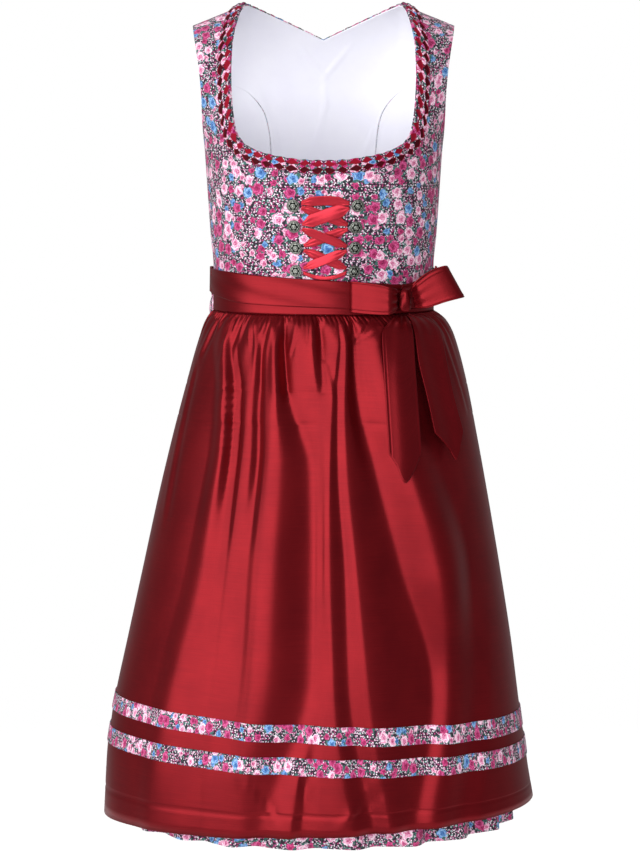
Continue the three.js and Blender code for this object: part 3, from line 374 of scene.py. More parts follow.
def bump(offset, spread):
    """A raised cosine: 1 in the middle, 0 at the spread."""
    t = np.clip(np.abs(offset) / spread, 0, 1)
    return (1 + np.cos(np.pi * t)) / 2


def along(points, share):
    """A smooth curve through a list of (x, z), read at shares of its length from 0 to 1."""
    p = np.asarray(points, float)
    length = np.r_[0, np.cumsum(np.hypot(*np.diff(p, axis=0).T))]
    at = np.asarray(share) * length[-1]
    return smooth(length, p[:, 0], at), smooth(length, p[:, 1], at)


def by_row(points, row):
    """A smooth curve through a list of (x, z), read at places counted in rows of the list."""
    p = np.asarray(points, float)
    rows = np.arange(len(p))
    return smooth(rows, p[:, 0], row), smooth(rows, p[:, 1], row)


# ---- forms ----
def shoulder_z(x):
    """Height of the shoulder line: level to the neck's end, then falling straight to the tip."""
    return mix(NECK_Z, TIP_Z, np.maximum((np.abs(x) - NECK_X) / (TIP_X - NECK_X), 0))


def stand_out(x, z, side):
    """Distance of the bodice from the middle plane: an ellipse across, which turns over to nothing at the
    shoulder line, with two soft bumps for the bust in front."""
    below = np.clip((shoulder_z(x) - z) / SHOULDER_REACH, 0, 1)
    turn = np.sqrt(np.maximum(1 - (1 - below) ** 2, 0))
    share = np.minimum(np.abs(x) / read(TORSO, "width", z), 1)
    oval = np.sqrt(np.maximum(1 - share * share, 0))
    out = read(TORSO, side, z) * oval * turn
    if side == "front":
        out = out + BUST["out"] * oval * np.exp(-((np.abs(x) - BUST["x"]) / BUST["spread_x"]) ** 2
                                                - ((z - BUST["z"]) / BUST["spread_z"]) ** 2)
    return out


def on_body(x, z, side):
    """Points of the bodice's form at x and z, as an array that ends in x, y, z."""
    x, z = np.broadcast_arrays(np.asarray(x, float), np.asarray(z, float))
    out = stand_out(x, z, side)
    return np.stack([x, -out if side == "front" else out, z], -1)


def body_uv(x, z, side):
    """Cloth coordinates on the bodice, in mm: arc round the oval, and height with the turn over the shoulder
    unrolled."""
    width = read(TORSO, "width", z)
    round_side = width * np.arcsin(np.clip(x / width, -1, 1)) * LAY["arc"]
    below = np.clip((shoulder_z(x) - z) / SHOULDER_REACH, 0, 1)
    up = np.where(below < 1, shoulder_z(x) - SHOULDER_REACH + LAY["turn"] * np.arcsin(1 - below), z)
    return np.stack([round_side if side == "front" else LAY["back"] - round_side, up], -1)


def cross_uv(points):
    """Cloth coordinates of a grid, in mm: lengths along its middle row and middle column."""
    middle = points.shape[0] // 2
    u = np.r_[0, np.cumsum(np.linalg.norm(np.diff(points[middle], axis=0), axis=1))]
    v = np.r_[0, np.cumsum(np.linalg.norm(np.diff(points[:, points.shape[1] // 2], axis=0), axis=1))]
    return np.stack(np.meshgrid(u, v), -1)


def normals_of(points, quads):
    """Unit normals at the points of a mesh of quads: the sum of the cross products of the diagonals."""
    a, b, c, d = (points[quads[:, i]] for i in range(4))
    face = np.cross(c - a, d - b)
    total = np.zeros_like(points)
    for i in range(4):
        np.add.at(total, quads[:, i], face)
    return total / np.maximum(np.linalg.norm(total, axis=1, keepdims=True), 1e-9)


def grid_quads(rows, columns):
    """The quads between neighbouring points of a grid, as numbers of their corners, anticlockwise."""
    index = np.arange(rows * columns).reshape(rows, columns)
    return np.stack([index[:-1, :-1], index[:-1, 1:], index[1:, 1:], index[1:, :-1]], -1).reshape(-1, 4)


def grid_normals(points):
    """Unit normals of one grid whose rows go up and whose columns go anticlockwise seen from above."""
    quads = grid_quads(*points.shape[:2])
    return normals_of(points.reshape(-1, 3), quads).reshape(points.shape)


# ---- meshes ----
def shell(name, grids, uvs, materials, lift, thick, marks=None, inner_slot=0):
    """Join grids of points into one closed wall of cloth. Each grid's rows go up and its columns go
    anticlockwise seen from above. The wall runs from lift to lift + thick along the normals, in mm, and its
    rim is flat."""
    points, quads, uv, start = [], [], [], 0
    for grid, flat in zip(grids, uvs):
        rows, columns = grid.shape[:2]
        quads.append(grid_quads(rows, columns) + start)
        points.append(grid.reshape(-1, 3))
        uv.append(np.asarray(flat).reshape(-1, 2))
        start += rows * columns
    points, quads, uv = np.concatenate(points), np.concatenate(quads), np.concatenate(uv)
    mark = np.zeros(len(points)) if marks is None else np.concatenate([np.ravel(m) for m in marks])
    rounded = np.round(points * WELD).astype(int)
    _, first, weld = np.unique(rounded, axis=0, return_index=True, return_inverse=True)
    weld = weld.reshape(-1)
    place, faces = points[first], weld[quads]
    whole = np.array([len(set(face)) == 4 for face in faces.tolist()])
    faces, quads = faces[whole], quads[whole]
    normal = normals_of(place, faces)
    count = len(place)
    vertices = np.concatenate([place + normal * (lift + thick), place + normal * lift]) * MM
    edges = np.stack([faces, np.roll(faces, -1, axis=1)], -1).reshape(-1, 2)
    corners = np.stack([quads, np.roll(quads, -1, axis=1)], -1).reshape(-1, 2)
    key, reverse = edges[:, 0] * count + edges[:, 1], edges[:, 1] * count + edges[:, 0]
    border = ~np.isin(key, reverse)
    a, b = edges[border].T
    rim = np.stack([b, a, a + count, b + count], -1)
    rim_uv = corners[border][:, [1, 0, 0, 1]]
    all_faces = np.concatenate([faces, faces[:, ::-1] + count, rim])
    loop_uv = np.concatenate([quads, quads[:, ::-1], rim_uv]).reshape(-1)
    mesh = bpy.data.meshes.new(name)
    mesh.vertices.add(len(vertices))
    mesh.vertices.foreach_set("co", vertices.ravel())
    mesh.loops.add(all_faces.size)
    mesh.loops.foreach_set("vertex_index", all_faces.ravel())
    mesh.polygons.add(len(all_faces))
    mesh.polygons.foreach_set("loop_start", np.arange(len(all_faces)) * 4)
    slot = np.zeros(len(all_faces), int)
    slot[len(faces):] = inner_slot
    slot[2 * len(faces):] = 0
    mesh.polygons.foreach_set("material_index", slot)
    mesh.update(calc_edges=True)
    mesh.polygons.foreach_set("use_smooth", np.arange(len(all_faces)) < 2 * len(faces))
    layer = mesh.uv_layers.new(name="UVMap")
    layer.data.foreach_set("uv", (uv[loop_uv] * MM).ravel())
    mark_of = np.zeros(count)
    mark_of[weld] = mark
    mesh.attributes.new("mark", "FLOAT", "POINT").data.foreach_set("value", np.tile(mark_of, 2))
    for material in materials:
        mesh.materials.append(material)
    return placed(name, mesh)


def ring_mesh(name, grid):
    """A closed surface of rings of points, in mm: quads between neighbouring rings and a flat face at each
    end."""
    rows, columns = grid.shape[:2]
    index = np.arange(rows * columns).reshape(rows, columns)
    beside = np.roll(index, -1, axis=1)
    quads = np.stack([index[:-1], beside[:-1], beside[1:], index[1:]], -1).reshape(-1, 4).tolist()
    ends = [index[0][::-1].tolist(), index[-1].tolist()]
    mesh = bpy.data.meshes.new(name)
    mesh.from_pydata((grid.reshape(-1, 3) * MM).tolist(), [], quads + ends)
    mesh.polygons.foreach_set("use_smooth", np.ones(len(mesh.polygons), bool))
    return mesh


def placed(name, data):
    """An object of the scene that holds a mesh, a light or a camera."""
    made = bpy.data.objects.new(name, data)
    bpy.context.scene.collection.objects.link(made)
    return made


def seat(piece, node):
    """Seat a piece in the frame: it rides on the body and stands for its node."""
    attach(piece, "root")
    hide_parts(node)


def cloth_piece(piece, node):
    """Seat a piece of cloth in the frame. A narrow piece counts as a little longer than it is, so that its
    cut holds its whole area.
    """
    seat(piece, node)


def mirrored(grid):
    """The same grid on the wearer's other side, with its columns still anticlockwise."""
    return grid[:, ::-1] * np.array([-1, 1, 1])


# ---- materials ----
# For Map Range: 0 at its second input, 1 at its third and smooth in between. For Mix: the share is input 0,
# the colours are inputs 6 and 7, and the result is output 2.
SMOOTH = {"interpolation_type": "SMOOTHSTEP"}
COLOURS = {"data_type": "RGBA"}
FULL_TURN = 6.28  # radians


def node(tree, kind, inputs=(), **settings):
    """Add a node with its settings and links, and return its outputs. The inputs stand in the order of the
    node's own, or by place or name; each is a value, or the output that feeds it."""
    made = tree.nodes.new(f"ShaderNode{kind}")
    for key, value in settings.items():
        setattr(made, key, value)
    for key, value in inputs.items() if isinstance(inputs, dict) else enumerate(inputs):
        if isinstance(value, bpy.types.NodeSocket):
            tree.links.new(value, made.inputs[key])
        else:
            made.inputs[key].default_value = value
    return made.outputs


def new_material(name):
    """An empty material with its shader and output joined; returns material, tree and shader."""
    material = bpy.data.materials.new(name)
    material.use_nodes = True
    tree = material.node_tree
    tree.nodes.clear()
    shader = tree.nodes.new("ShaderNodeBsdfPrincipled")
    output = tree.nodes.new("ShaderNodeOutputMaterial")
    tree.links.new(shader.outputs[0], output.inputs[0])
    return material, tree, shader


def cloth_point(tree, scale):
    """The cloth's own coordinates, in units of the given size in mm."""
    uv = node(tree, "UVMap", uv_map="UVMap")[0]
    return node(tree, "Mapping", {"Vector": uv, "Scale": (1000 / scale,) * 3})[0]


def drawn_point(tree, wobble, grain):
    """The cloth's own coordinates in mm, shifted by up to the wobble at the given grain, so that shapes
    drawn there have the uneven outline of a hand-cut print."""
    uv = node(tree, "UVMap", uv_map="UVMap")[0]
    flat = node(tree, "VectorMath", {0: uv, 3: 1000.0}, operation="SCALE")[0]
    noise = node(tree, "TexNoise", {"Vector": flat, "Scale": 1 / grain, "Detail": 2.0},
                 noise_dimensions="2D")
    shift = node(tree, "VectorMath", [noise["Color"], (wobble,) * 3, (-wobble / 2,) * 3],
                 operation="MULTIPLY_ADD")[0]
    return node(tree, "VectorMath", [flat, shift], operation="ADD")[0]


def scatter(tree, point, spacing, offset, wild=1.0):
    """One point in each square of the given spacing in mm: distance from the nearest one in mm, direction
    from it, and three random numbers of its own."""
    squares = {"Vector": point, "Location": offset + (0,), "Scale": (1 / spacing,) * 3}
    moved = node(tree, "Mapping", squares)[0]
    cells = node(tree, "TexVoronoi", {"Vector": moved, "Scale": 1.0, "Randomness": wild},
                 voronoi_dimensions="2D")
    away = node(tree, "VectorMath", [moved, cells["Position"]], operation="SUBTRACT")[0]
    apart = node(tree, "SeparateXYZ", [away])
    turn = node(tree, "Math", [apart[1], apart[0]], operation="ARCTAN2")[0]
    reach = node(tree, "Math", [cells["Distance"], spacing], operation="MULTIPLY")[0]
    chance = node(tree, "SeparateColor", [cells["Color"]])
    return reach, turn, chance


def choose(tree, chance, stops):
    """The colour whose share of the chances a random number from 0 to 1 falls in; stops are (start, hex)."""
    colour = node(tree, "ValToRGB", [chance])[0]
    ramp = colour.node.color_ramp
    ramp.interpolation = "CONSTANT"
    for i, (start, code) in enumerate(stops):
        stop = ramp.elements[i] if i < 2 else ramp.elements.new(start)
        stop.position, stop.color = start, linear(code)
    return colour


def rose_layer(tree, ground, point, spacing, offset, radius, kinds, keep):
    """Lay double roses over a ground colour: leaves that stick out behind, a lobed outline, petals as curled
    arcs of two colours, and a dark heart that sits a little off the middle. kinds are (share, outer petal,
    inner petal, heart); keep is the share of the places that bear a flower."""
    reach, turn, chance = scatter(tree, point, spacing, offset, 0.8)
    starts = np.cumsum([0] + [kind[0] for kind in kinds[:-1]]).tolist()
    outer, inner, heart = (choose(tree, chance[2], [(at, kind[i]) for at, kind in zip(starts, kinds)])
                           for i in (1, 2, 3))
    there = node(tree, "Math", [chance[0], keep], operation="LESS_THAN")[0]

    # five lobes round the outline; share is 0 in the flower's middle and 1 on its outline
    angle = node(tree, "Math", [chance[0], FULL_TURN, turn], operation="MULTIPLY_ADD")[0]
    size = node(tree, "Math", [chance[1], 0.35 * radius, 0.8 * radius], operation="MULTIPLY_ADD")[0]
    lobe_phase = node(tree, "Math", [angle, 5.0], operation="MULTIPLY")[0]
    lobes = node(tree, "Math", [lobe_phase], operation="SINE")[0]
    lobed = node(tree, "Math", [lobes, 0.09, 1.0], operation="MULTIPLY_ADD")[0]
    outline = node(tree, "Math", [size, lobed], operation="MULTIPLY")[0]
    share = node(tree, "Math", [reach, outline], operation="DIVIDE")[0]

    # petals: a wave that winds out from a point off the middle, which turns to the inner colour near it
    aside = node(tree, "Math", [angle], operation="COSINE")[0]
    off = node(tree, "Math", [aside, 0.22, share], operation="MULTIPLY_ADD")[0]
    three_turns = node(tree, "Math", [angle, 3.0], operation="MULTIPLY")[0]
    winding = node(tree, "Math", [off, 13.0, three_turns], operation="MULTIPLY_ADD")[0]
    curl = node(tree, "Math", [winding], operation="SINE")[0]
    lit = node(tree, "MapRange", [curl, -0.1, 0.75], **SMOOTH)[0]
    petals = node(tree, "Mix", {0: lit, 6: outer, 7: inner}, **COLOURS)[2]
    near = node(tree, "MapRange", [off, 0.62, 0.3], **SMOOTH)[0]
    partly = node(tree, "Math", [near, 0.75], operation="MULTIPLY")[0]
    petals = node(tree, "Mix", {0: partly, 6: petals, 7: inner}, **COLOURS)[2]

    # heart: dark folds that wind the other way
    two_turns = node(tree, "Math", [angle, 2.0], operation="MULTIPLY")[0]
    unwinding = node(tree, "Math", [off, -21.0, two_turns], operation="MULTIPLY_ADD")[0]
    folds = node(tree, "Math", [unwinding], operation="SINE")[0]
    middle = node(tree, "MapRange", [off, 0.6, 0.12], **SMOOTH)[0]
    hollow = node(tree, "MapRange", [folds, -0.8, 0.5], **SMOOTH)[0]
    deep = node(tree, "Math", [middle, hollow], operation="MULTIPLY")[0]
    petals = node(tree, "Mix", {0: deep, 6: petals, 7: heart}, **COLOURS)[2]

    # leaves: three lobes that reach up to half as far again, behind the flower
    nine_sizes = node(tree, "Math", [size, 9.0], operation="MULTIPLY")[0]
    leaf_phase = node(tree, "Math", [turn, 3.0, nine_sizes], operation="MULTIPLY_ADD")[0]
    leaf_lobes = node(tree, "Math", [leaf_phase], operation="SINE")[0]
    leaf_out = node(tree, "MapRange", [leaf_lobes, 0.1, 1.0], **SMOOTH)[0]
    leaf_edge = node(tree, "Math", [leaf_out, 0.5, 0.95], operation="MULTIPLY_ADD")[0]
    leaf_share = node(tree, "Math", [share, leaf_edge], operation="DIVIDE")[0]
    in_leaf = node(tree, "MapRange", [leaf_share, 1.0, 0.9], **SMOOTH)[0]
    leaves = node(tree, "Math", [in_leaf, there], operation="MULTIPLY")[0]
    colour = node(tree, "Mix", {0: leaves, 6: ground, 7: linear("#3a6560")}, **COLOURS)[2]
    in_flower = node(tree, "MapRange", [share, 1.0, 0.9], **SMOOTH)[0]
    flower = node(tree, "Math", [in_flower, there], operation="MULTIPLY")[0]
    return node(tree, "Mix", {0: flower, 6: colour, 7: petals}, **COLOURS)[2]


def speck_layer(tree, ground, point, spacing, offset, radius, colour, keep, long=1.0):
    """Lay small specks or leaves over a ground colour; long stretches them along a random direction."""
    reach, turn, chance = scatter(tree, point, spacing, offset, 1.0)
    angle = node(tree, "Math", [chance[0], FULL_TURN, turn], operation="MULTIPLY_ADD")[0]
    across = node(tree, "Math", [angle], operation="SINE")[0]
    size = node(tree, "Math", [across], operation="ABSOLUTE")[0]
    squeeze = node(tree, "Math", [size, long - 1.0, 1.0], operation="MULTIPLY_ADD")[0]
    squeezed = node(tree, "Math", [reach, squeeze], operation="MULTIPLY")[0]
    share = node(tree, "Math", [squeezed, radius], operation="DIVIDE")[0]
    near = node(tree, "MapRange", [share, 1.15, 0.8], **SMOOTH)[0]
    there = node(tree, "Math", [chance[1], keep], operation="LESS_THAN")[0]
    inside = node(tree, "Math", [near, there], operation="MULTIPLY")[0]
    return node(tree, "Mix", {0: inside, 6: ground, 7: colour}, **COLOURS)[2]


def weave_bump(tree, pitch, depth):
    """A plain weave: two crossed waves, as a normal. The pitch is in mm, drawn coarser than the real thread
    so that it shows."""
    apart = node(tree, "SeparateXYZ", [cloth_point(tree, pitch / 6.283)])
    warp, weft = (node(tree, "Math", [apart[i]], operation="SINE")[0] for i in (0, 1))
    height = node(tree, "Math", [warp, weft], operation="MULTIPLY")[0]
    return node(tree, "Bump", {"Strength": depth, "Distance": 0.0004, "Height": height})[0]


ROSES = (  # share, outer petals, inner petals, heart
    (0.42, "#f4dfeb", "#e58ab6", "#a81a5a"),
    (0.44, "#cf5a92", "#a81e5b", "#650a38"),
    (0.14, "#93b9e2", "#4079bd", "#1f3f7c"),
)
BUDS = (
    (0.40, "#f0cfdf", "#cf5a92", "#921b50"),
    (0.34, "#cf4a86", "#a01d58", "#5e0b33"),
    (0.26, "#84addb", "#3d73b5", "#1d3b72"),
)
SPECKS = (  # spacing in mm, offset, radius in mm, colour, share of the places that bear one, how long
    (4.6, (0.3, 0.1), 2.2, "#33534e", 0.6, 2.2),
    (3.7, (0.2, 0.8), 1.6, "#a83a72", 0.65, 1.8),
    (3.1, (0.7, 0.4), 1.15, "#cfa3bf", 0.6, 1.7),
    (3.4, (0.5, 0.6), 1.2, "#efe4ec", 0.62, 1.9),
    (5.2, (0.9, 0.2), 1.3, "#8fb8b2", 0.35, 1.5),
)


def floral_colour(tree):
    """Small-flowered print: sprigs and specks of white, pink and green on a plum-black ground, with buds of
    7 to 10 mm and roses of 11 to 15 mm in pink, magenta and blue laid over them."""
    fine, coarse = drawn_point(tree, 1.8, 2.2), drawn_point(tree, 5.2, 3.2)
    colour = linear("#2a1d2b")
    for spacing, offset, radius, code, keep, long in SPECKS:
        colour = speck_layer(tree, colour, fine, spacing, offset, radius, linear(code), keep, long)
    colour = rose_layer(tree, colour, coarse, spacing=14.0, offset=(0.15, 0.45), radius=4.3, kinds=BUDS,
                        keep=0.75)
    return rose_layer(tree, colour, coarse, spacing=17.0, offset=(0.37, 0.71), radius=6.6, kinds=ROSES,
                      keep=0.78)


def print_cotton():
    """Printed cotton: matt, with a fine plain weave that breaks the light a little."""
    material, tree, shader = new_material("printed_cotton")
    tree.links.new(floral_colour(tree), shader.inputs["Base Color"])
    shader.inputs["Roughness"].default_value = 0.82
    shader.inputs["Sheen Weight"].default_value = 0.08
    shader.inputs["Specular IOR Level"].default_value = 0.3
    tree.links.new(weave_bump(tree, 0.9, 0.25), shader.inputs["Normal"])
    return material


def trim_cotton():
    """Frog-mouth trim: the same print on the lips and red taffeta inside the mouths, with painted shade in
    the outer row that turns its red to near black towards each mouth's middle, which gives the strip its
    small dark diamonds."""
    material, tree, shader = new_material("frog_mouth_cotton")
    mark = node(tree, "Attribute", attribute_name="mark")["Fac"]
    # painted shade: where the mark nears 1, in the outer mouths, the red turns to a shaded near-black copy
    outer = node(tree, "MapRange", [mark, 0.45, 1.0], **SMOOTH)[0]
    mouth = node(tree, "Mix", {0: outer, 6: linear("#8c0f26"), 7: linear("#430511")}, **COLOURS)[2]
    inside = node(tree, "MapRange", [mark, 0.12, 0.34], **SMOOTH)[0]
    colour = node(tree, "Mix", {0: inside, 6: floral_colour(tree), 7: mouth}, **COLOURS)[2]
    tree.links.new(colour, shader.inputs["Base Color"])
    shader.inputs["Roughness"].default_value = 0.75
    shader.inputs["Specular IOR Level"].default_value = 0.12
    tree.links.new(weave_bump(tree, 0.9, 0.2), shader.inputs["Normal"])
    return material


def lining_cotton():
    """Bleached cotton lining: white, matt, with a faint even weave."""
    material, tree, shader = new_material("bleached_cotton")
    cloud = node(tree, "TexNoise", {"Vector": cloth_point(tree, 40), "Scale": 1.0, "Detail": 4.0})[0]
    colour = node(tree, "Mix", {0: cloud, 6: linear("#ebeaf5"), 7: linear("#f6f6fc")}, **COLOURS)[2]
    tree.links.new(colour, shader.inputs["Base Color"])
    shader.inputs["Roughness"].default_value = 0.9
    shader.inputs["Sheen Weight"].default_value = 0.1
    tree.links.new(weave_bump(tree, 0.8, 0.15), shader.inputs["Normal"])
    return material


def taffeta():
    """Silk-like taffeta: crisp plain weave with a metallic sheen and thicker weft threads (slubs) that run
    across it, about 70 mm long and 1 mm apart."""
    material, tree, shader = new_material("taffeta")
    uv = node(tree, "UVMap", uv_map="UVMap")[0]
    drawn = node(tree, "Mapping", {"Vector": uv, "Scale": (14.0, 900.0, 1.0)})[0]
    slub = node(tree, "TexNoise", {"Vector": drawn, "Scale": 1.0, "Detail": 3.0, "Roughness": 0.6})[0]
    cloud = node(tree, "TexNoise", {"Vector": cloth_point(tree, 60), "Scale": 1.0, "Detail": 3.0})[0]
    half_cloud = node(tree, "Math", [cloud, 0.5], operation="MULTIPLY")[0]
    both = node(tree, "Math", [slub, 0.5, half_cloud], operation="MULTIPLY_ADD")[0]
    shade = node(tree, "MapRange", [both, 0.3, 0.7], **SMOOTH)[0]
    colour = node(tree, "Mix", {0: shade, 6: linear("#701018"), 7: linear("#80151c")}, **COLOURS)[2]
    tree.links.new(colour, shader.inputs["Base Color"])
    shader.inputs["Metallic"].default_value = 0.75
    shader.inputs["Roughness"].default_value = 0.34
    shader.inputs["Specular IOR Level"].default_value = 0.25
    shader.inputs["Sheen Weight"].default_value = 0.02
    shader.inputs["Sheen Roughness"].default_value = 0.4
    shader.inputs["Sheen Tint"].default_value = linear("#d0607a")
    ribbed = node(tree, "Bump", {"Strength": 0.12, "Distance": 0.0005, "Height": slub})[0]
    tree.links.new(ribbed, shader.inputs["Normal"])
    return material


def satin():
    """Satin ribbon: a bright, smooth face with a soft streaked shine along its length, in streaks of about
    17 mm by 0.7 mm."""
    material, tree, shader = new_material("satin_ribbon")
    uv = node(tree, "UVMap", uv_map="UVMap")[0]
    drawn = node(tree, "Mapping", {"Vector": uv, "Scale": (60.0, 1500.0, 1.0)})[0]
    streak = node(tree, "TexNoise", {"Vector": drawn, "Scale": 1.0, "Detail": 2.0})[0]
    colour = node(tree, "Mix", {0: streak, 6: linear("#a6182a"), 7: linear("#ca2b3b")}, **COLOURS)[2]
    tree.links.new(colour, shader.inputs["Base Color"])
    shader.inputs["Metallic"].default_value = 0.65
    shader.inputs["Roughness"].default_value = 0.3
    shader.inputs["Sheen Weight"].default_value = 0.1
    return material


def old_silver():
    """Blackened silver: polished on the raised wire, dark in the hollows."""
    material, tree, shader = new_material("old_silver")
    mark = node(tree, "Attribute", attribute_name="mark")["Fac"]
    colour = node(tree, "Mix", {0: mark, 6: linear("#171b19"), 7: linear("#a9aca4")}, **COLOURS)[2]
    tree.links.new(colour, shader.inputs["Base Color"])
    shader.inputs["Metallic"].default_value = 1.0
    rough = node(tree, "Math", [mark, -0.25, 0.55], operation="MULTIPLY_ADD")[0]
    tree.links.new(rough, shader.inputs["Roughness"])
    return material


MAKERS = {"print": print_cotton, "trim": trim_cotton, "lining": lining_cotton, "taffeta": taffeta,
          "satin": satin, "silver": old_silver}
MATERIALS = {}


def cloth(name):
    """The material of a slot, made once."""
    if name not in MATERIALS:
        MATERIALS[name] = MAKERS[name]()
    return MATERIALS[name]


# ---- the bodice's grids ----
def front_grids():
    """The wearer's left front as two grids that meet at the neckline's corner: the body, whose rows bend
    from the level waist to the neckline and underarm, and the strap, between the neckline and the armhole. A
    column close to the centre keeps the closing's edge sharp."""
    split = 26
    corner = FRONT_NECK[-1][0]
    top_width = TORSO["width"][TORSO["z"].index(UNDERARM_Z)]
    angle = np.arcsin(corner / top_width)
    turn = np.r_[0, 0.012, np.linspace(0, angle, split)[1:], np.linspace(angle, np.pi / 2, 27)[1:]]
    x = top_width * np.sin(turn)
    neck_x, neck_z = np.array(FRONT_NECK, float).T
    z = np.where(x <= corner, smooth(neck_x, neck_z, x),
                 mix(neck_z[-1], UNDERARM_Z, (x - corner) / (top_width - corner)))
    rise = np.linspace(0, 1, 61)[:, None]
    body_z = mix(WAIST_Z, z[None], rise)
    body_x = x / read(TORSO, "width", z) * read(TORSO, "width", body_z)
    row = np.linspace(0, len(STRAP_NECK) - 1, 70)
    (left_x, left_z), (right_x, right_z) = by_row(STRAP_NECK, row), by_row(STRAP_ARM, row)
    share = (x[split:] - corner) / (top_width - corner)
    strap_x = mix(left_x[:, None], right_x[:, None], share)
    strap_z = mix(left_z[:, None], right_z[:, None], share)
    return [(body_x, body_z), (strap_x, strap_z)]


def back_centre_half():
    """Half of the back's centre panel, from the centre line to the curved seam and, above it, the armhole.
    Rows rise level from the waist and bend up to the neckline and the shoulder."""
    share = np.linspace(0, 1, 49)
    row = np.linspace(0, len(BACK_SEAM) - 1, SEAM_ROWS)
    seam_x, seam_z = by_row(BACK_SEAM, row)
    middle = mix(WAIST_Z, BACK_SPLIT, (seam_z - WAIST_Z) / (BACK_SEAM[-1][1] - WAIST_Z))
    low_x = seam_x[:, None] * share
    low_z = mix(middle[:, None], seam_z[:, None], share)
    neck_x, neck_z = np.array(BACK_NECK, float).T
    top_x = share * TIP_X
    top_z = np.where(top_x <= NECK_X, smooth(neck_x, neck_z, top_x), shoulder_z(top_x))
    rise = np.linspace(0, 1, 45)[1:]
    arm_x, arm_z = by_row(BACK_TOP_ARM, rise * (len(BACK_TOP_ARM) - 1))
    centre_z = mix(BACK_SPLIT, neck_z[0], rise)
    flat_z = mix(centre_z[:, None], arm_z[:, None], share)
    over = top_z - mix(neck_z[0], TIP_Z, share)
    up_x = arm_x[:, None] * share
    up_z = flat_z + over * ease(rise)[:, None]
    return np.concatenate([low_x, up_x]), np.concatenate([low_z, up_z])


def back_side_half():
    """The back's side panel, from the curved seam to the side seam and the lower armhole."""
    share = np.linspace(0, 1, 31)
    row = np.linspace(0, len(BACK_SEAM) - 1, SEAM_ROWS)
    seam_x, seam_z = by_row(BACK_SEAM, row)
    level = np.minimum(row / SIDE_ROWS, 1)
    side_z = mix(WAIST_Z, UNDERARM_Z, level)
    arm_x, arm_z = by_row(BACK_ARM, np.clip(row - SIDE_ROWS, 0, len(BACK_ARM) - 1))
    edge_x = np.where(row <= SIDE_ROWS, read(TORSO, "width", side_z), arm_x)
    edge_z = np.where(row <= SIDE_ROWS, side_z, arm_z)
    return mix(seam_x[:, None], edge_x[:, None], share), mix(seam_z[:, None], edge_z[:, None], share)


def back_pieces():
    """The back's centre and side panels as (name, x, z), with columns anticlockwise seen from above."""
    x, z = back_centre_half()
    centre = np.concatenate([x[:, ::-1], -x[:, 1:]], 1), np.concatenate([z[:, ::-1], z[:, 1:]], 1)
    side_x, side_z = back_side_half()
    return [("back_center", *centre), ("back_side_left", side_x[:, ::-1], side_z[:, ::-1]),
            ("back_side_right", -side_x, side_z)]


def lining_creases(x, z):
    """Soft creases of the lining, in mm: the ridges of its two curved seams, a Y below the back neck and a
    few slanting pulls."""
    seam_x, seam_z = np.array(BACK_SEAM, float).T
    seam = 0.9 * bump(np.abs(x) - smooth(seam_z, seam_x, z), 3.5) * ease((-96 - z) / 12)
    out = seam + 1.4 * bump(x - 2 - 0.25 * np.minimum(z + 110, 0), 7) * bump(z + 110, 60)
    for start_x, start_z, lean, spread, long, height in LINING_PULLS:
        out = out + height * bump(x - start_x - lean * (z - start_z), spread) * bump(z - start_z, long)
    return out


# ---- skirt and apron grids ----
def skirt_grid(start, folds, columns, rows):
    """Half of the gathered skirt: an oval that widens downward, with folds as a raised cosine whose second
    harmonic leans them, and whose depth differs from fold to fold by up to a fifth. The gathers swell at the
    wearer's right hip."""
    u = np.linspace(0, 1, columns)[None]
    z = np.linspace(SKIRT["z"][0], SKIRT["z"][-1], rows)[:, None]
    turn = np.radians(start + 180 * u)
    phase = 2 * np.pi * folds * u
    wave = (1 - np.cos(phase)) / 2 + 0.12 * np.sin(2 * phase)
    out = read(SKIRT, "fold", z) * wave * mix(1, 0.8, np.cos(3.7 * turn) ** 2)
    beside = bump(np.mod(start + 180 * u, 360) - HIP_PUFF["angle"], HIP_PUFF["spread"])
    out = out + HIP_PUFF["out"] * beside * bump(z - HIP_PUFF["z"], HIP_PUFF["tall"])
    depth = np.where(np.cos(turn) >= 0, read(SKIRT, "front", z), read(SKIRT, "back", z))
    x = read(SKIRT, "shift", z) + (read(SKIRT, "width", z) + out) * np.sin(turn)
    y = -(depth + out) * np.cos(turn)
    return np.stack([x, y, np.broadcast_to(z, x.shape)], -1)


def gathers(u, count, depth):
    """Small gathers that differ in width and depth: a wave whose phase wanders."""
    wander = 0.35 * np.sin(7.3 * np.pi * u) + 0.25 * np.sin(17.1 * np.pi * u + 1.0)
    return depth * np.sin(2 * np.pi * (count * u + wander))


def apron_fold(angle, z):
    """Height of the soft folds: a smooth curve across the lines of crests and hollows at each height z."""
    places, heights = (np.stack([smooth(FOLD_LEVELS, line[column], z[:, 0]) for line in FOLD_LINES], -1)
                       for column in ("angle", "height"))
    return smooth(places, heights, angle)


def apron_creases(angle, z):
    """The short creases, in mm. Across each, the cloth rises a little, steps down and comes back: the slope
    of a bell curve. Each fades out at both ends."""
    out = 0 * angle * z
    for start, high, stop, low, spread, step in APRON_CREASES:
        share = (high - z) / (high - low)
        across = (angle - mix(start, stop, np.clip(share, 0, 1))) / spread
        fade = ease(share / 0.12 + 0.5) * ease((1 - share) / 0.3 + 0.3)
        out = out - step * across * np.exp(-across ** 2) * fade
    return out


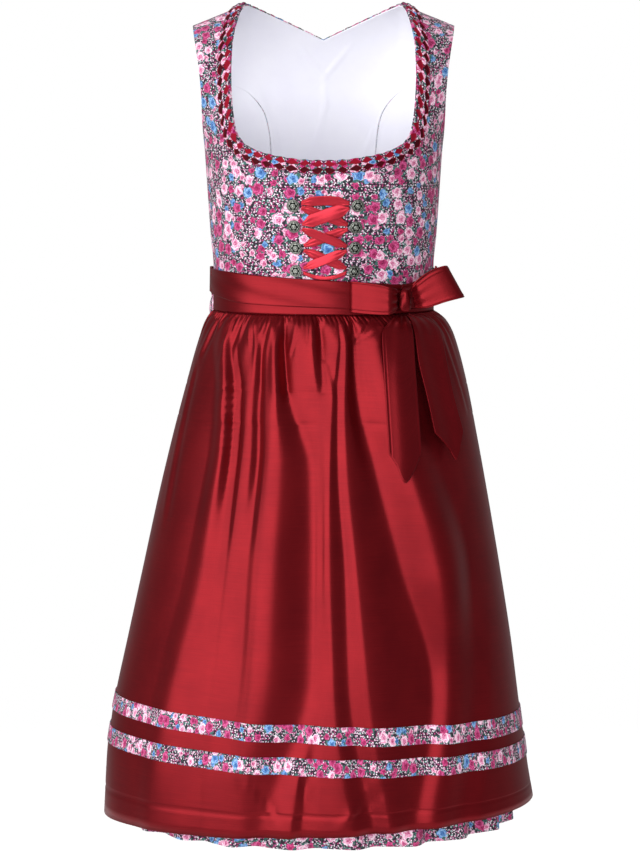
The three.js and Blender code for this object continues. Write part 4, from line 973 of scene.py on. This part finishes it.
def apron_points(u, z):
    """Points of the apron at shares u of its width and nominal heights z: an oval fan with soft folds,
    uneven gathers and fine puckers under the waistband, short creases and the lines of its stitching."""
    angle = mix(-1, 1, u) * read(APRON, "reach", z)
    turn = np.radians(angle)
    short, long = PUCKERS["waves"]
    reach = PUCKERS["low"] - PUCKERS["wander"] * np.sin(short * np.pi * u) * np.sin(long * np.pi * u)
    fade = ease((z - reach) / (PUCKERS["full"] - reach))
    puckers = gathers(u, PUCKERS["count"], PUCKERS["deep"]) * fade
    lines = sum(-deep * bump(z - height, LINE_WIDE) for height, deep in HEM_LINES.items())
    out = (read(APRON, "fold", z) * apron_fold(angle, z)
           + read(APRON, "gather", z) * gathers(u, APRON_GATHERS, 1)
           + puckers * ease((APRON["z"][-1] - z) / 2) + apron_creases(angle, z) + lines)
    x = read(APRON, "shift", z) + (read(APRON, "width", z) + out) * np.sin(turn)
    y = -(read(APRON, "front", z) + out) * np.cos(turn)
    return np.stack([x, y, z + read(APRON, "tilt", z) * x], -1)


def apron_uv(u, z):
    """Cloth coordinates of the apron, in mm: across its cut width, and its height."""
    return np.stack(np.broadcast_arrays(u * APRON_CUT, z + 0 * u), -1)


# ---- waist grids ----
BAND_COLUMNS = 1.25  # grid columns of a band for each degree


def waist_points(angle, z):
    """Points on the waist's oval at angles from the centre front, in degrees."""
    turn = np.radians(angle)
    at = np.maximum(z, WAIST_Z)
    depth = np.where(np.cos(turn) >= 0, read(TORSO, "front", at), read(TORSO, "back", at))
    return np.stack([read(TORSO, "width", at) * np.sin(turn), -depth * np.cos(turn), z + 0 * turn], -1)


def waist_away(angle, z):
    """Outward unit vectors on the waist's oval."""
    tangent = waist_points(angle + 0.5, z) - waist_points(angle - 0.5, z)
    away = np.stack([tangent[..., 1], -tangent[..., 0], 0 * tangent[..., 0]], -1)
    return away / np.linalg.norm(away, axis=-1, keepdims=True)


def waist_grid(start, stop, low, top, lift, creases):
    """A band round the waist between two angles, whose rows run from its low edge to its top one. low, top
    and lift are functions of the angle, and creases one of the angle and the share across."""
    angle = np.linspace(start, stop, int(abs(stop - start) * BAND_COLUMNS) + 2)[None]
    share = np.linspace(0, 1, 25)[:, None]
    z = mix(low(angle), top(angle), share)
    out = lift(angle) + creases(angle, share)
    return waist_points(angle, z) + waist_away(angle, z) * out[..., None]


def edge_at(column):
    """A waist edge as a function of the angle round the front."""
    width = TORSO["width"][0]
    return lambda angle: smooth(WAIST_EDGES["x"], WAIST_EDGES[column], width * np.sin(np.radians(angle)))


def steady(value):
    """One edge height or lift as a function of the angle."""
    return lambda angle: value + 0 * angle


def by_angle(table, column):
    """A tie's edge or lift as a function of the angle round the back."""
    return lambda angle: smooth(table["angle"], table[column], angle)


# ---- settings ----
class DirndlSettings(PropertyGroup):
    """Sizes, powers and colours that a user would change; sizes are in metres."""

    print_wall: FloatProperty(name="Cotton", description="Thickness of the printed cotton",
                              default=0.0012, unit="LENGTH", precision=4)
    ribbon_wall: FloatProperty(name="Ribbon", description="Thickness of the satin ribbon",
                               default=0.0009, unit="LENGTH", precision=4)
    mouth_long: FloatProperty(name="Mouth", description="Length of one frog mouth of the trim",
                              default=0.0145, unit="LENGTH", precision=4)
    mouth_high: FloatProperty(name="Lip", description="Height of the trim's lips",
                              default=0.003, unit="LENGTH", precision=4)
    petals: IntProperty(name="Petals", description="Petals of a filigree button", default=6, min=3)
    key_power: FloatProperty(name="Key light", description="Power of the key light",
                             default=155.0, unit="POWER")
    fill_power: FloatProperty(name="Fill light", description="Power of the fill light",
                              default=38.0, unit="POWER")
    floor_colour: FloatVectorProperty(name="Floor", description="Colour of the floor", subtype="COLOR",
                                      size=4, default=linear("#fcfcfc"))


class DIRNDL_OT_bodice(Operator):
    """Make the bodice's five panels from the torso's form."""

    bl_idname = "dirndl.bodice"
    bl_label = "Bodice"

    def execute(self, context):
        wall = context.scene.dirndl.print_wall / MM
        flats = front_grids()
        grids = [on_body(x, z, "front") for x, z in flats]
        grids = [grid - grid_normals(grid) * (CLOSING_DEEP * bump(grid[..., 0], 3))[..., None]
                 for grid in grids]
        uvs = [body_uv(x, z, "front") for x, z in flats]
        for name in ("left", "right"):
            if name == "right":
                grids = [mirrored(grid) for grid in grids]
                uvs = [uv[:, ::-1] * np.array([-1, 1]) for uv in uvs]
            piece = shell(f"cloth_front_{name}", grids, uvs, [cloth("print"), cloth("lining")],
                          lift=-wall / 2, thick=wall, inner_slot=1)
            cloth_piece(piece, f"bodice_front_{name}")
        for name, x, z in back_pieces():
            grid = on_body(x, z, "back")
            piece = shell(f"cloth_{name}", [grid], [body_uv(x, z, "back")], [cloth("print")],
                          lift=-wall / 2, thick=wall)
            cloth_piece(piece, f"bodice_{name}")
        return {"FINISHED"}


class DIRNDL_OT_lining(Operator):
    """Make the white lining of the back, a little inside the print, with soft creases."""

    bl_idname = "dirndl.lining"
    bl_label = "Lining"

    def execute(self, context):
        for name, x, z in back_pieces():
            base = on_body(x, z, "back")
            edge = ease(np.minimum(1, (z - WAIST_Z) / 30))
            grid = base - grid_normals(base) * (lining_creases(x, z) * edge)[..., None]
            piece = shell(f"cloth_lining_{name}", [grid], [body_uv(x, z, "back")], [cloth("lining")],
                          lift=-CLOTH / 2 - SEAM - THIN, thick=THIN)
            cloth_piece(piece, f"lining_{name}")
        return {"FINISHED"}


def trim_grid(neck, edge, side, settings, mirror_back=False):
    """The frog-mouth trim along a neckline, as points, lifts, cloth coordinates and marks. Each unit along
    it holds two mouths side by side, shaped like eyes, that open between puffed lips and close at the
    stitches; the strip's edges swell between them. The gape is 1 in a mouth's middle and 0 at the stitches.
    The mark is 0 on the lips, half in the mouth beside the neck, 1 in the other, where the trim's material
    paints shade."""
    fine = np.linspace(0, 1, 400)
    foot, other = on_body(*along(neck, fine), side), on_body(*along(edge, fine), side)
    if mirror_back:
        foot, other = (np.concatenate([p[::-1] * [-1, 1, 1], p[1:]]) for p in (foot, other))
    middle = (foot + other) / 2
    length = np.r_[0, np.cumsum(np.linalg.norm(np.diff(middle, axis=0), axis=1))]
    units = max(round(length[-1] * MM / settings.mouth_long), 1)
    s = np.linspace(0, length[-1], units * TRIM_ROWS + 1)
    foot, other = (np.stack([np.interp(s, length, p[:, i]) for i in range(3)], -1) for p in (foot, other))
    phase = s / length[-1] * units
    from_middle = np.abs(phase % 1 - 0.5 + 0.06 * np.sin(4.1 * phase))
    gape = np.clip(1 - (from_middle / MOUTH["half_long"]) ** 1.2, 0, 1)[:, None]
    t = np.linspace(0, 1, TRIM_COLUMNS)[None]
    inner = t < 0.5
    drift = 0.035 * np.sin(5.3 * phase + 1.1)[:, None]
    off = np.abs(t + drift - np.where(inner, MOUTH["inner"], MOUTH["outer"]))
    apart = off / (MOUTH["half_wide"] * gape + 0.004)
    inside = ease((1.1 - apart) / 0.4) * ease(gape / 0.1)
    puff = np.sqrt(1 - np.abs(2 * t - 1) ** 3) * (0.45 + 0.55 * gape ** 0.5)
    lift = settings.mouth_high / MM * puff * (1 - MOUTH["deep"] * inside)
    lift = lift + MOUTH["pleat"] * (1 - gape) ** 2 * np.sin(14 * np.pi * t)
    swell = 0.5 + (t - 0.5) * (0.84 + 0.24 * gape ** 0.5)
    place = swell if not mirror_back else mix(0.08, 1, swell)
    base = foot[:, None] + (other - foot)[:, None] * place[..., None]
    cloth_uv = np.stack([s[:, None] * 1.5 + 0 * t, 18 * t + 0 * s[:, None]], -1)
    # mark: 0.5 in the inner mouths, 1 in the outer ones, which the material darkens as painted shade
    return base, lift, cloth_uv, inside * np.where(inner, 0.5, 1.0)


class DIRNDL_OT_neck_trim(Operator):
    """Make the frog-mouth trim along the front neckline and round the back."""

    bl_idname = "dirndl.neck_trim"
    bl_label = "Neck trim"

    def execute(self, context):
        settings = context.scene.dirndl
        neck, edge = FRONT_NECK + STRAP_NECK[1:], FRONT_TRIM + STRAP_TRIM[1:]
        for name in ("front_left", "front_right", "back"):
            if name == "back":
                base, lift, uv, mark = trim_grid(BACK_NECK, BACK_TRIM, "back", settings, True)
                base, lift, uv, mark = (np.swapaxes(a, 0, 1)[::-1, ::-1] for a in (base, lift, uv, mark))
            else:
                base, lift, uv, mark = trim_grid(neck, edge, "front", settings)
                base, lift, uv, mark = (np.swapaxes(a, 0, 1)[::-1] for a in (base, lift, uv, mark))
                if name == "front_right":
                    base = mirrored(base)
                    lift, uv, mark = lift[:, ::-1], uv[:, ::-1], mark[:, ::-1]
            normal = grid_normals(base)
            grid = base + normal * (TRIM_LIFT + lift)[..., None]
            piece = shell(f"ruche_{name}", [grid], [uv], [cloth("trim")],
                          lift=-TRIM_THICK / 2, thick=TRIM_THICK, marks=[mark])
            cloth_piece(piece, f"neck_trim_{name}")
        return {"FINISHED"}


class DIRNDL_OT_skirt(Operator):
    """Make the gathered skirt's front and back."""

    bl_idname = "dirndl.skirt"
    bl_label = "Skirt"

    def execute(self, context):
        wall = context.scene.dirndl.print_wall / MM
        for name, start in (("front", -90), ("back", 90)):
            folds = SKIRT_FOLDS[name]
            grid = skirt_grid(start, folds, folds * FOLD_COLUMNS + 1, SKIRT_ROWS)
            hem = np.linalg.norm(np.diff(grid[0], axis=0), axis=1).sum()
            u = np.linspace(0, hem, grid.shape[1])[None] + (0 if name == "front" else LAY["skirt_back"])
            uv = np.stack(np.broadcast_arrays(u, grid[..., 2]), -1)
            piece = shell(f"cloth_skirt_{name}", [grid], [uv], [cloth("print")], lift=-wall / 2, thick=wall)
            cloth_piece(piece, f"skirt_{name}")
        return {"FINISHED"}


class DIRNDL_OT_apron(Operator):
    """Make the apron and the two printed bands that lie on it."""

    bl_idname = "dirndl.apron"
    bl_label = "Apron"

    def execute(self, context):
        u = np.linspace(0, 1, 481)[None]
        lines = np.add.outer(list(HEM_LINES), [-LINE_WIDE, 0, LINE_WIDE]).ravel()
        low, middle, top = (APRON["z"][row] for row in (0, APRON_MIDDLE, -1))
        rows = np.r_[np.linspace(low, middle, 56), np.linspace(middle, top, 36)[1:], lines]
        z = np.sort(rows)[:, None]
        grid = apron_points(u, z)
        piece = shell("taffeta_apron", [grid], [apron_uv(u, z)], [cloth("taffeta")],
                      lift=-CLOTH / 2, thick=CLOTH)
        cloth_piece(piece, "apron")
        for name, (low, top) in APRON_BANDS.items():
            z = np.linspace(APRON["z"][low], APRON["z"][top], 9)[:, None]
            grid = apron_points(u, z)
            piece = shell(f"print_{name}", [grid], [apron_uv(u, z)], [cloth("print")],
                          lift=CLOTH / 2 + SEAM, thick=THIN)
            cloth_piece(piece, name)
        return {"FINISHED"}


class DIRNDL_OT_waist(Operator):
    """Make the apron's waistband and the ties that run over it and round the back."""

    bl_idname = "dirndl.waist"
    bl_label = "Waistband and ties"

    def execute(self, context):
        knot_angle = math.degrees(math.asin(KNOT["x"] / TORSO["width"][0]))

        def flat(angle, share):
            """No creases."""
            return 0 * angle + 0 * share

        def folds(angle, share):
            """Folds across the tie that die away from the knot, and shallow ones all along it."""
            gather = np.exp(-np.abs(angle - knot_angle) / 9)
            return gather * 1.1 * np.sin(2 * np.pi * 3.5 * share) + 0.35 * np.sin(9 * share + angle * 0.11)

        on_cloth, on_belt = steady(CLOTH / 2 + SEAM), steady(CLOTH / 2 + 2 * SEAM + BELT_THICK)
        tie_edges = edge_at("tie_low"), edge_at("tie_top"), on_belt
        bands = [  # name, start, stop, low edge, top edge, lift, creases, wall
            ("apron_waistband", -BELT_REACH, BELT_REACH, steady(BELT_LOW), edge_at("belt"), on_cloth, flat,
             BELT_THICK),
            ("tie_front_right", -TIE_REACH, knot_angle, *tie_edges, folds, TIE_THICK),
            ("tie_front_left", knot_angle, TIE_REACH, *tie_edges, folds, TIE_THICK),
        ]
        for name, table in (("tie_back_right", TIE_RIGHT), ("tie_back_left", TIE_LEFT)):
            edges = (by_angle(table, column) for column in ("low", "top", "lift"))
            bands.append((name, TIE_REACH, 360 - TIE_REACH, *edges, flat, TIE_THICK))
        for name, start, stop, low, top, lift, creases, thick in bands:
            grid = waist_grid(start, stop, low, top, lift, creases)
            piece = shell(f"taffeta_{name}", [grid], [cross_uv(grid)], [cloth("taffeta")],
                          lift=0, thick=thick)
            cloth_piece(piece, name)
        return {"FINISHED"}


def loop_points(path):
    """A loop of the bow: a strip that runs out and back along its path and stands across it. Its folds,
    three half waves to each side, die away from the knot, and a stitched line runs inside both edges."""
    last = len(path["x"]) - 1
    s = np.linspace(0, last, 8 * last + 1)[None]
    v = np.linspace(-1, 1, 51)[:, None]
    at = {column: smooth(np.arange(last + 1), values, s) for column, values in path.items()}
    near = np.exp(-np.minimum(s, last - s) / 0.6)
    crease = 0.9 * near * np.sin(3 * np.pi * v + 0.6) - LOOP_HEM * bump(np.abs(v) - 0.84, 0.08)
    grid = np.stack([at["x"] - v * at["lean"], at["y"] + 0 * v, at["z"] + v * at["half"]], -1)
    return grid + grid_normals(grid) * crease[..., None]


def tail_points(tail):
    """A tail of the bow: it hangs on the apron's oval, lifted clear of its folds, narrow at the knot, with a
    pointed end, one soft fold along it, fine folds that die away from the knot and a stitched line inside
    both edges."""
    t = np.linspace(0, 1, 49)[None]
    down = np.linspace(0, 1, 60)[:, None]
    bottom = smooth(np.linspace(0, 1, 5), tail["end"], t)
    z = mix(bottom, tail["z"][0], down)
    rows = tail["z"][::-1]
    left, right = (smooth(rows, tail[column][::-1], z) for column in ("left", "right"))
    x = mix(left, right, t)
    lift = (read(TAIL_CLEAR, "lift", z) + tail["fold"] * (0.5 - 0.5 * np.cos(2 * np.pi * t))
            * ease((-350 - z) / 60))
    crease = 0.8 * np.exp((z + 352) / 25) * np.sin(5 * np.pi * t)
    crease = crease - LOOP_HEM * bump(np.abs(t - 0.5) - 0.42, 0.035)
    width, front = read(APRON, "width", z) + lift, read(APRON, "front", z) + lift
    y = -front * np.sqrt(1 - ((x - read(APRON, "shift", z)) / width) ** 2) - crease
    return np.stack([x, y, z], -1)


class DIRNDL_OT_bow(Operator):
    """Make the bow's two loops and two tails."""

    bl_idname = "dirndl.bow"
    bl_label = "Bow"

    def execute(self, context):
        parts = [(name, loop_points(path), "folded") for name, path in LOOPS.items()]
        parts += [(name, tail_points(tail), "hung") for name, tail in TAILS.items()]
        for name, grid, held in parts:
            piece = shell(f"taffeta_{name}", [grid], [cross_uv(grid)], [cloth("taffeta")],
                          lift=-TIE_THICK / 2, thick=TIE_THICK)
            cloth_piece(piece, name)
        return {"FINISHED"}


def knot_surface():
    """The knot: a rounded upright bundle, wider below, whose section is an oval with four folds that wind a
    little as they run down it."""
    angle = math.degrees(math.asin(KNOT["x"] / TORSO["width"][0]))
    foot = waist_points(np.array(angle), np.array(float(KNOT["z"])))
    away = waist_away(np.array(angle), np.array(float(KNOT["z"])))
    tangent = np.array([-away[1], away[0], 0])
    centre = foot + away * (KNOT["lift"] + KNOT["deep"])
    v = np.linspace(-1, 1, 41)[:, None]
    turn = np.linspace(0, 2 * np.pi, 65)[None]
    folds = 0.93 + 0.07 * np.abs(v) ** 1.5 + 0.05 * np.cos(4 * turn + 2.2 * v)
    around = (1 - np.abs(v) ** 3.2) ** 0.5 * folds
    side = KNOT["wide"] * (1 - 0.2 * v) * around * np.cos(turn)
    out = KNOT["deep"] * around * np.sin(turn)
    up = KNOT["tall"] * v + 0 * turn
    return centre + tangent * side[..., None] - away * out[..., None] + np.array([0, 0, 1]) * up[..., None]


class DIRNDL_OT_knot(Operator):
    """Make the knot of the bow as one closed, softly folded body."""

    bl_idname = "dirndl.knot"
    bl_label = "Knot"

    def execute(self, context):
        grid = knot_surface()[1:-1, :-1]
        rows, columns = grid.shape[:2]
        mesh = ring_mesh("knot", grid)
        around, up = np.linspace(0, KNOT_CLOTH[0], columns), np.linspace(0, KNOT_CLOTH[1], rows)
        uv = np.stack(np.meshgrid(around, up), -1).reshape(-1, 2)
        corner = np.zeros(len(mesh.loops), int)
        mesh.loops.foreach_get("vertex_index", corner)
        mesh.uv_layers.new(name="UVMap").data.foreach_set("uv", uv[corner].ravel())
        mesh.materials.append(cloth("taffeta"))
        seat(placed("knot", mesh), "bow_knot")
        return {"FINISHED"}


def ribbon_points(start_x, start_z, start_up, stop_x, stop_z, stop_up, sag, level, half, lean):
    """A stretch of the lacing: it lies on the bodice between two eyes, bows by a half wave, narrows and
    tucks at each eye, and is a little domed and leaning across."""
    t = np.linspace(0, 1, 41)[None]
    v = np.linspace(-1, 1, 13)[:, None]
    low, high = start_z + EYE_STEP * start_up, stop_z + EYE_STEP * stop_up
    length = math.hypot(stop_x - start_x, high - low)
    near = np.minimum(t, 1 - t) * length
    wide = mix(2.0, half, ease(near / 12))
    x = mix(start_x, stop_x, t) - v * wide * (high - low) / length
    z = mix(low, high, t) + sag * np.sin(np.pi * t) + v * wide * (stop_x - start_x) / length
    base = on_body(x, z, "front")
    tuck = np.exp(-near / 7) * (0.6 + 0.6 * np.sin(2.6 * np.pi * v + 1.2 * lean) + 0.25 * np.sin(7 * v))
    crease = tuck + (0.35 * (1 - v * v) + 0.5 * lean * v + 0.5 * abs(lean)) * np.sin(np.pi * t)
    lift = CLOTH / 2 + SEAM + RIBBON_LIFT + level * (THIN + SEAM) + crease
    return base + grid_normals(base) * lift[..., None]


class DIRNDL_OT_lacing(Operator):
    """Make the satin ribbon's eight stretches between the buttons."""

    bl_idname = "dirndl.lacing"
    bl_label = "Lacing"

    def execute(self, context):
        wall = context.scene.dirndl.ribbon_wall / MM
        for name, stretch in LACING.items():
            grid = ribbon_points(*stretch)
            piece = shell(f"satin_{name}", [grid], [cross_uv(grid)], [cloth("satin")],
                          lift=0, thick=wall)
            cloth_piece(piece, name)
        return {"FINISHED"}


def button_height(share, turn, petals):
    """Relief of a filigree button, whose share is 1 at its rim and 0 in its middle: a low dome, two rings of
    raised wire, petals and rays of wire between them and a bead in the middle. Returns height in mm and how
    much of it is raised wire."""
    dome = 1.6 * (1 - share ** 2)
    petal_edge = 0.55 + 0.2 * np.abs(np.cos(petals / 2 * turn))
    wires = (np.exp(-((share - 0.93) / 0.05) ** 2) + np.exp(-((share - petal_edge) / 0.05) ** 2)
             + np.exp(-((share - 0.3) / 0.06) ** 2) + 1.3 * np.exp(-(share / 0.16) ** 2)
             + 0.8 * np.exp(-((share - 0.72) / 0.1) ** 2) * np.abs(np.sin(petals / 2 * turn)) ** 12)
    return dome + 0.55 * wires, np.clip(wires, 0, 1)


class DIRNDL_OT_buttons(Operator):
    """Make the eight filigree buttons as round reliefs on the bodice."""

    bl_idname = "dirndl.buttons"
    bl_label = "Filigree buttons"

    def execute(self, context):
        petals = context.scene.dirndl.petals
        rings, spokes = 22, 72
        share = np.linspace(1, 0.02, rings)[:, None]
        turn = np.linspace(0, 2 * np.pi, spokes + 1)[None, :-1]
        height, raised = button_height(share, turn, petals)
        scallop = 1 + 0.03 * np.cos(petals * 2 * turn)
        for name, (x, z, radius, lift) in BUTTONS.items():
            centre, right, above, left, below = on_body(
                x + np.array([0, 1, 0, -1, 0]), z + np.array([0, 0, 1, 0, -1]), "front")
            normal = np.cross(right - left, above - below)
            normal /= np.linalg.norm(normal)
            across = np.cross([0, 0, 1], normal) * -1
            across = across / np.linalg.norm(across)
            up = np.cross(normal, across)
            reach = radius * np.concatenate([np.ones((1, 1)), share]) * scallop
            rise = np.concatenate([np.full((1, spokes), lift), lift + BUTTON_WALL + height])
            grid = (centre + across * (reach * np.cos(turn))[..., None]
                    + up * (reach * np.sin(turn))[..., None] + normal * rise[..., None])
            mesh = ring_mesh(f"filigree_{name}", grid)
            value = np.concatenate([np.zeros((1, spokes)), raised * np.ones((rings, spokes))]).ravel()
            mesh.attributes.new("mark", "FLOAT", "POINT").data.foreach_set("value", value)
            mesh.materials.append(cloth("silver"))
            seat(placed(f"filigree_{name}", mesh), name)
        return {"FINISHED"}


def pale_floor(colour):
    """Painted studio floor: matt and pale, fading to clear towards its rim so that no edge shows."""
    material, tree, shader = new_material("pale_floor")
    shader.inputs["Base Color"].default_value = colour
    shader.inputs["Roughness"].default_value = 0.9
    place = node(tree, "TexCoord")["Object"]
    far = node(tree, "VectorMath", [place], operation="LENGTH")["Value"]
    fade = node(tree, "MapRange", [far, *FLOOR_FADE], **SMOOTH)[0]
    clear = node(tree, "BsdfTransparent")[0]
    both = node(tree, "MixShader", [fade, shader.outputs[0], clear])[0]
    output = next(n for n in tree.nodes if n.type == "OUTPUT_MATERIAL")
    tree.links.new(both, output.inputs[0])
    return material


def studio_world():
    """A white world that is bright where it is seen and dim as light."""
    world = bpy.data.worlds.new("studio")
    world.use_nodes = True
    tree = world.node_tree
    tree.nodes.clear()
    seen = node(tree, "LightPath")["Is Camera Ray"]
    lit, shown = (node(tree, "Background", {"Color": linear("#ffffff"), "Strength": strength})[0]
                  for strength in (WORLD_LIGHT, WORLD_SHOWN))
    both = node(tree, "MixShader", [seen, lit, shown])[0]
    node(tree, "OutputWorld", [both])
    return world


class DIRNDL_OT_stage(Operator):
    """Make the floor, the lights, the world and the camera."""

    bl_idname = "dirndl.stage"
    bl_label = "Stage"

    def execute(self, context):
        settings = context.scene.dirndl
        scene = context.scene
        camera = bpy.data.cameras.new("camera")
        camera.lens, camera.sensor_width, camera.sensor_fit = CAMERA_LENS, CAMERA_SENSOR, "AUTO"
        camera.clip_end = 50
        eye = placed("camera", camera)
        eye.location = CAMERA_PLACE
        eye.rotation_euler = (math.radians(90 - CAMERA_DOWN), 0, 0)
        scene.camera = eye
        scene.view_settings.view_transform = "Standard"

        floor_z = CAD_BOX[0][2] - FLOOR_DROP
        mesh = bpy.data.meshes.new("floor")
        turn = np.linspace(0, 2 * np.pi, 65)[:-1]
        ring = np.stack([FLOOR_REACH * np.cos(turn), FLOOR_REACH * np.sin(turn), 0 * turn + floor_z], -1)
        mesh.from_pydata(ring.tolist(), [], [list(range(len(ring)))])
        mesh.materials.append(pale_floor(settings.floor_colour))
        placed("floor", mesh)

        middle = np.array(STUDIO_MIDDLE)
        powers = {"key": settings.key_power, "fill": settings.fill_power}
        for name, (azimuth, height, distance, size, power) in LIGHTS.items():
            turn = math.radians(azimuth)
            place = middle + np.array([distance * math.sin(turn), -distance * math.cos(turn), height])
            light = bpy.data.lights.new(name, "AREA")
            light.shape, light.size, light.size_y = "RECTANGLE", *size
            light.energy = powers.get(name, power)
            lamp = placed(name, light)
            lamp.location = place
            lamp.rotation_euler = Vector(place - middle).to_track_quat("Z", "Y").to_euler()
            lamp.visible_glossy = name in SHINING
        scene.world = studio_world()
        return {"FINISHED"}


class DIRNDL_PT_panel(Panel):
    """Lists the garment's pieces in the sidebar."""

    bl_idname = "DIRNDL_PT_panel"
    bl_label = "Dirndl"
    bl_space_type = "VIEW_3D"
    bl_region_type = "UI"
    bl_category = "Dirndl"

    def draw(self, context):
        for name in DirndlSettings.__annotations__:
            self.layout.prop(context.scene.dirndl, name)
        for operator in OPERATORS:
            self.layout.operator(operator.bl_idname)


OPERATORS = (DIRNDL_OT_stage, DIRNDL_OT_bodice, DIRNDL_OT_lining, DIRNDL_OT_neck_trim, DIRNDL_OT_skirt,
             DIRNDL_OT_apron, DIRNDL_OT_waist, DIRNDL_OT_bow, DIRNDL_OT_knot, DIRNDL_OT_lacing,
             DIRNDL_OT_buttons)
CLASSES = (DirndlSettings, *OPERATORS, DIRNDL_PT_panel)


def register():
    """Register the classes and the scene's settings."""
    for item in CLASSES:
        bpy.utils.register_class(item)
    bpy.types.Scene.dirndl = PointerProperty(type=DirndlSettings)


def unregister():
    """Take the settings and classes away again."""
    del bpy.types.Scene.dirndl
    for item in reversed(CLASSES):
        bpy.utils.unregister_class(item)


def main():
    """Make every piece in order."""
    register()
    for operator in OPERATORS:
        group, name = operator.bl_idname.split(".")
        getattr(getattr(bpy.ops, group), name)()


if __name__ == "__main__":
    main()
